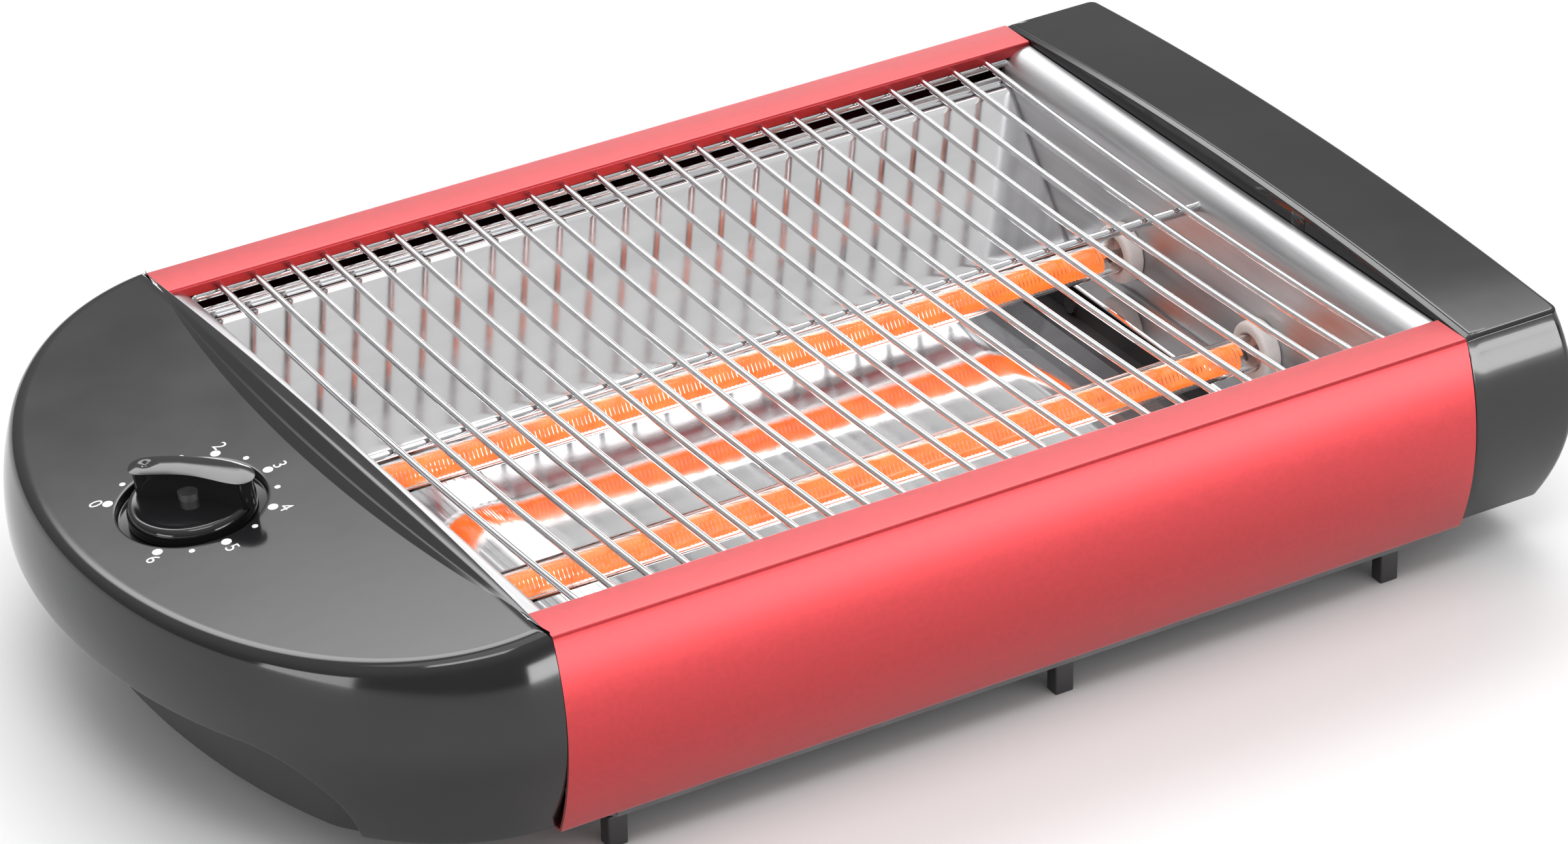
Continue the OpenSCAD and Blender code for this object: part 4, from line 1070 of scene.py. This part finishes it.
# %% Figures
def figure_net(text, angle):
    """A figure's outline filled and thickened, laid on the dial with its top towards the bay."""
    curve = bpy.data.curves.new("figure", "FONT")
    curve.body = text
    curve.size = FIGURE_SIZE
    curve.extrude = PRINT_H
    curve.align_x = "CENTER"
    curve.align_y = "CENTER"
    made = bpy.data.objects.new("figure", curve)
    bpy.context.scene.collection.objects.link(made)
    graph = bpy.context.evaluated_depsgraph_get()
    mesh = bpy.data.meshes.new_from_object(made.evaluated_get(graph))
    bpy.data.objects.remove(made)
    flat = np.zeros(len(mesh.vertices) * 3)
    mesh.vertices.foreach_get("co", flat)
    flat = flat.reshape(-1, 3)
    reading = np.array([0, -1, 0])
    points = dial_point(angle, FIGURE_REACH) + flat[:, :1] * reading
    points = points + flat[:, 1:2] * in_plane + flat[:, 2:] * UP
    mesh.calc_loop_triangles()
    triangles = np.array([list(t.vertices) for t in mesh.loop_triangles])
    return points, triangles


figures = [figure_net(str(number), ZERO - 2 * number * STEP) for number in range(7)]
make_piece("dial_figures", figures, "dial_print", sharp=30)

# %% [markdown]
# ## Feet, handle and gland
# Three short tabs show under the front panel and three under the rear one.
# The drawer's handle is a shallow channel under the right housing, and a rubber gland lines the cord's hole.

# %% Feet
feet_low, feet_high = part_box("feet")
FOOT_W, FOOT_D = 5.5 * MM, 4.5 * MM
FOOT_TOP = UNDER_Z - 3.8 * MM
STEM_R = 1.7 * MM
FOOT_SHARES = (-0.86, 0.11, 0.86)
mid_x = (LEFT_FACE + RIGHT_FACE) / 2
foot_y = feet_high.y - FOOT_D / 2
stem_h = feet_high.z - FOOT_TOP
feet = []
for share in FOOT_SHARES:
    for side in (-1, 1):
        x, y = mid_x + share * (RIGHT_FACE - LEFT_FACE) / 2, side * foot_y
        block_x = (x - FOOT_W / 2, x + FOOT_W / 2)
        feet.append(slab(block_x, (y - FOOT_D / 2, y + FOOT_D / 2), (feet_low.z, FOOT_TOP), 0.5 * MM))
        stem = np.array([[0, 0], [STEM_R, 0], [STEM_R, stem_h], [0, stem_h]])
        feet.append(turned(stem, np.array([x, y, FOOT_TOP]), [0, 0, 1], 24))
make_piece("feet_tabs", feet, "black_matte", stands_for=("feet",))

# %% Drawer handle
grip_low, grip_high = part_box("tray_handle")
GRIP_T = 2.4 * MM
spans = [
    ((grip_low.x, grip_high.x), (grip_low.z, grip_low.z + GRIP_T)),
    ((grip_low.x, grip_low.x + GRIP_T), (grip_low.z, grip_high.z)),
    ((grip_high.x - GRIP_T, grip_high.x), (grip_low.z, grip_high.z)),
]
grip = [slab(x, (grip_low.y, grip_high.y), z, 0.7 * MM) for x, z in spans]
make_piece("drawer_handle", grip, "black_matte", "crumb_drawer", stands_for=("tray_handle",))

# %% Cord gland
gland_low, gland_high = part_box("cord_gland")
gland_x, gland_z = (gland_low.x + gland_high.x) / 2, (gland_low.z + gland_high.z) / 2
gland_l = gland_high.y - gland_low.y
collar = [[3.6, 0], [6.4, 0], [6.4, 1.55], [5, 1.55], [5, -1.65], [7.2, -1.65], [7.2, 0], [3.6, 0]]
collar = np.array(collar) * MM
collar[4:, 1] += gland_l
collar_radii = np.array([0.5, 0.6, 0.1, 0.1, 0.1, 0.1, 0.6, 0.6]) * MM
collar = rounded(collar[None], collar_radii[None], 5, closed=True)[0]
ring = turned(collar, np.array([gland_x, gland_low.y, gland_z]), [0, 1, 0], 48, closed=True)
make_piece("cord_gland_ring", [ring], "black_rubber", stands_for=("cord_gland",))

# %% [markdown]
# ## Floor and light
# The toaster stands on a plain pale floor under soft studio light.
# Gloss shows only what it reflects, so the world has a dark horizon and a bright soft panel high behind:
# the flat tops reflect the edge of that panel, which gives them a sheen that brightens towards the front.

# %% Floor
FLOOR_HALF = 12.0
edge = np.linspace(-FLOOR_HALF, FLOOR_HALF, 9)
fx, fy = np.meshgrid(edge, edge, indexing="ij")
floor_points, floor_quads = net(np.stack([fx, fy, np.zeros_like(fx)], -1))
floor_mesh = bpy.data.meshes.new("studio_floor")
floor_mesh.from_pydata(floor_points.tolist(), [], floor_quads[:, ::-1].tolist())
studio_floor = bpy.data.objects.new("studio_floor", floor_mesh)
bpy.context.scene.collection.objects.link(studio_floor)
finish("pale_floor", (0.80, 0.80, 0.80), (0.84, 0.84, 0.84), (0.6, 0.7), relief=(20, 0.05, 0.1),
       mottle=3)
floor_mesh.materials.append(FINISHES["pale_floor"])
print("floor", 2 * FLOOR_HALF, "m wide")

# %% [markdown]
# ### The world
# The world's brightness depends only on direction, so a few maths nodes can draw the rear panel.
# A smooth step over height makes its foot, another its head, and one over the angle its two sides.

# %% Smooth steps
PANEL_AZIMUTH = math.radians(158)
PANEL_LIGHT = 5.0
PANEL_FOOT, PANEL_HEAD = (33.5, 39.5), (52, 62)
PANEL_SIDES = (42, 24)
HORIZON_LIGHT, ZENITH_LIGHT, ZENITH_Z = 0.30, 0.75, 0.85


def ramp(tree, value, low, high, to_low, to_high):
    """A smooth step of a value, from to_low at low to to_high at high."""
    step = tree.nodes.new("ShaderNodeMapRange")
    step.interpolation_type = "SMOOTHSTEP"
    for label, number in zip(("From Min", "From Max", "To Min", "To Max"), (low, high, to_low, to_high)):
        step.inputs[label].default_value = number
    tree.links.new(value, step.inputs["Value"])
    return step.outputs["Result"]


def combined(tree, kind, a, b):
    node = tree.nodes.new("ShaderNodeMath")
    node.operation = kind
    tree.links.new(a, node.inputs[0])
    tree.links.new(b, node.inputs[1])
    return node.outputs["Value"]


def heights(degrees):
    """Z of the unit directions that rise by these angles: their sines."""
    return [math.sin(math.radians(angle)) for angle in degrees]


def closeness(degrees):
    """Likeness of two level directions that stand these angles apart: the cosines."""
    return [math.cos(math.radians(angle)) for angle in degrees]


print("rear panel from", PANEL_FOOT, "to", PANEL_HEAD, "degrees up")

# %% World
world = bpy.data.worlds.new("studio")
bpy.context.scene.world = world
world.use_nodes = True
sky = world.node_tree
view_way = sky.nodes.new("ShaderNodeTexCoord")
parts = sky.nodes.new("ShaderNodeSeparateXYZ")
sky.links.new(view_way.outputs["Generated"], parts.inputs["Vector"])
flat_way = sky.nodes.new("ShaderNodeVectorMath")
flat_way.operation = "MULTIPLY"
flat_way.inputs[1].default_value = (1, 1, 0)
sky.links.new(view_way.outputs["Generated"], flat_way.inputs[0])
unit_way = sky.nodes.new("ShaderNodeVectorMath")
unit_way.operation = "NORMALIZE"
sky.links.new(flat_way.outputs["Vector"], unit_way.inputs[0])
behind = sky.nodes.new("ShaderNodeVectorMath")
behind.operation = "DOT_PRODUCT"
behind.inputs[1].default_value = (math.sin(PANEL_AZIMUTH), -math.cos(PANEL_AZIMUTH), 0)
sky.links.new(unit_way.outputs["Vector"], behind.inputs[0])
base = ramp(sky, parts.outputs["Z"], 0.0, ZENITH_Z, HORIZON_LIGHT, ZENITH_LIGHT)
panel_foot = ramp(sky, parts.outputs["Z"], *heights(PANEL_FOOT), 0, PANEL_LIGHT)
panel_head = ramp(sky, parts.outputs["Z"], *heights(PANEL_HEAD), 1, 0)
panel_height = combined(sky, "MULTIPLY", panel_foot, panel_head)
panel_width = ramp(sky, behind.outputs["Value"], *closeness(PANEL_SIDES), 0, 1)
light = combined(sky, "ADD", base, combined(sky, "MULTIPLY", panel_height, panel_width))
sky.links.new(light, sky.nodes["Background"].inputs["Strength"])
sky.nodes["Background"].inputs["Color"].default_value = (1.0, 1.0, 1.0, 1)
bpy.context.scene.view_settings.view_transform = "Standard"
print("world", world.name)

# %% [markdown]
# ### Lamps
# Five area lamps add what the world lacks: light from above for the grill, one for the brow,
# low ones for the left side and the red panel, and one behind that brightens the rear strip.


# %% Lamps
def softbox(name, azimuth, elevation, distance, size, watts):
    """A rectangular area lamp on a sphere about the toaster, turned to face it."""
    a, e = math.radians(azimuth), math.radians(elevation)
    way = np.array([math.sin(a) * math.cos(e), -math.cos(a) * math.cos(e), math.sin(e)])
    lamp = bpy.data.lights.new(name, "AREA")
    lamp.shape = "RECTANGLE"
    lamp.size, lamp.size_y = size
    lamp.energy = watts
    made = bpy.data.objects.new(name, lamp)
    made.location = way * distance
    made.rotation_euler = (math.pi / 2 - e, 0, a)
    bpy.context.scene.collection.objects.link(made)
    return made


softbox("overhead", 0, 84, 1.8, (1.6, 1.2), 7)
softbox("brow_key", -32, 62, 1.9, (0.9, 0.4), 6)
softbox("side_key", -78, 6, 1.6, (0.7, 0.3), 3.2)
softbox("panel_strip", 26, 5, 1.8, (1.5, 0.26), 12)
softbox("rear_low", 142, 7, 2.0, (1.2, 0.34), 7)
print("lamps", len(bpy.data.lights))

# %% [markdown]
# ## Camera
# The view is from the front left and about thirty degrees above, from far off with a long lens,
# so that the toaster's long lines stay almost parallel.

# %% Camera
LENS, SENSOR = 151.5, 36
CAMERA_REACH, CAMERA_LEFT, CAMERA_UP = 1752.7 * MM, 4.5 * MM, 18.4 * MM
YAW, PITCH, ROLL = math.radians(-30.47), math.radians(29.60), math.radians(-1.27)
back = np.array([math.sin(YAW) * math.cos(PITCH), -math.cos(YAW) * math.cos(PITCH), math.sin(PITCH)])
level_right = np.array([math.cos(YAW), math.sin(YAW), 0])
level_up = np.cross(back, level_right)
right = math.cos(ROLL) * level_right + math.sin(ROLL) * level_up
up = math.cos(ROLL) * level_up - math.sin(ROLL) * level_right
aim = np.array([mid_x, 0, UNDER_Z])
camera = bpy.data.objects.new("camera", bpy.data.cameras.new("camera"))
bpy.context.scene.collection.objects.link(camera)
camera.data.lens = LENS
camera.data.sensor_width = SENSOR
turn = np.eye(4)
turn[:3, :3] = np.stack([right, up, back], 1)
turn[:3, 3] = aim + CAMERA_REACH * back - CAMERA_LEFT * right + CAMERA_UP * up
camera.matrix_world = Matrix(turn.tolist())
bpy.context.scene.camera = camera
print("camera", CAMERA_REACH, "m away")
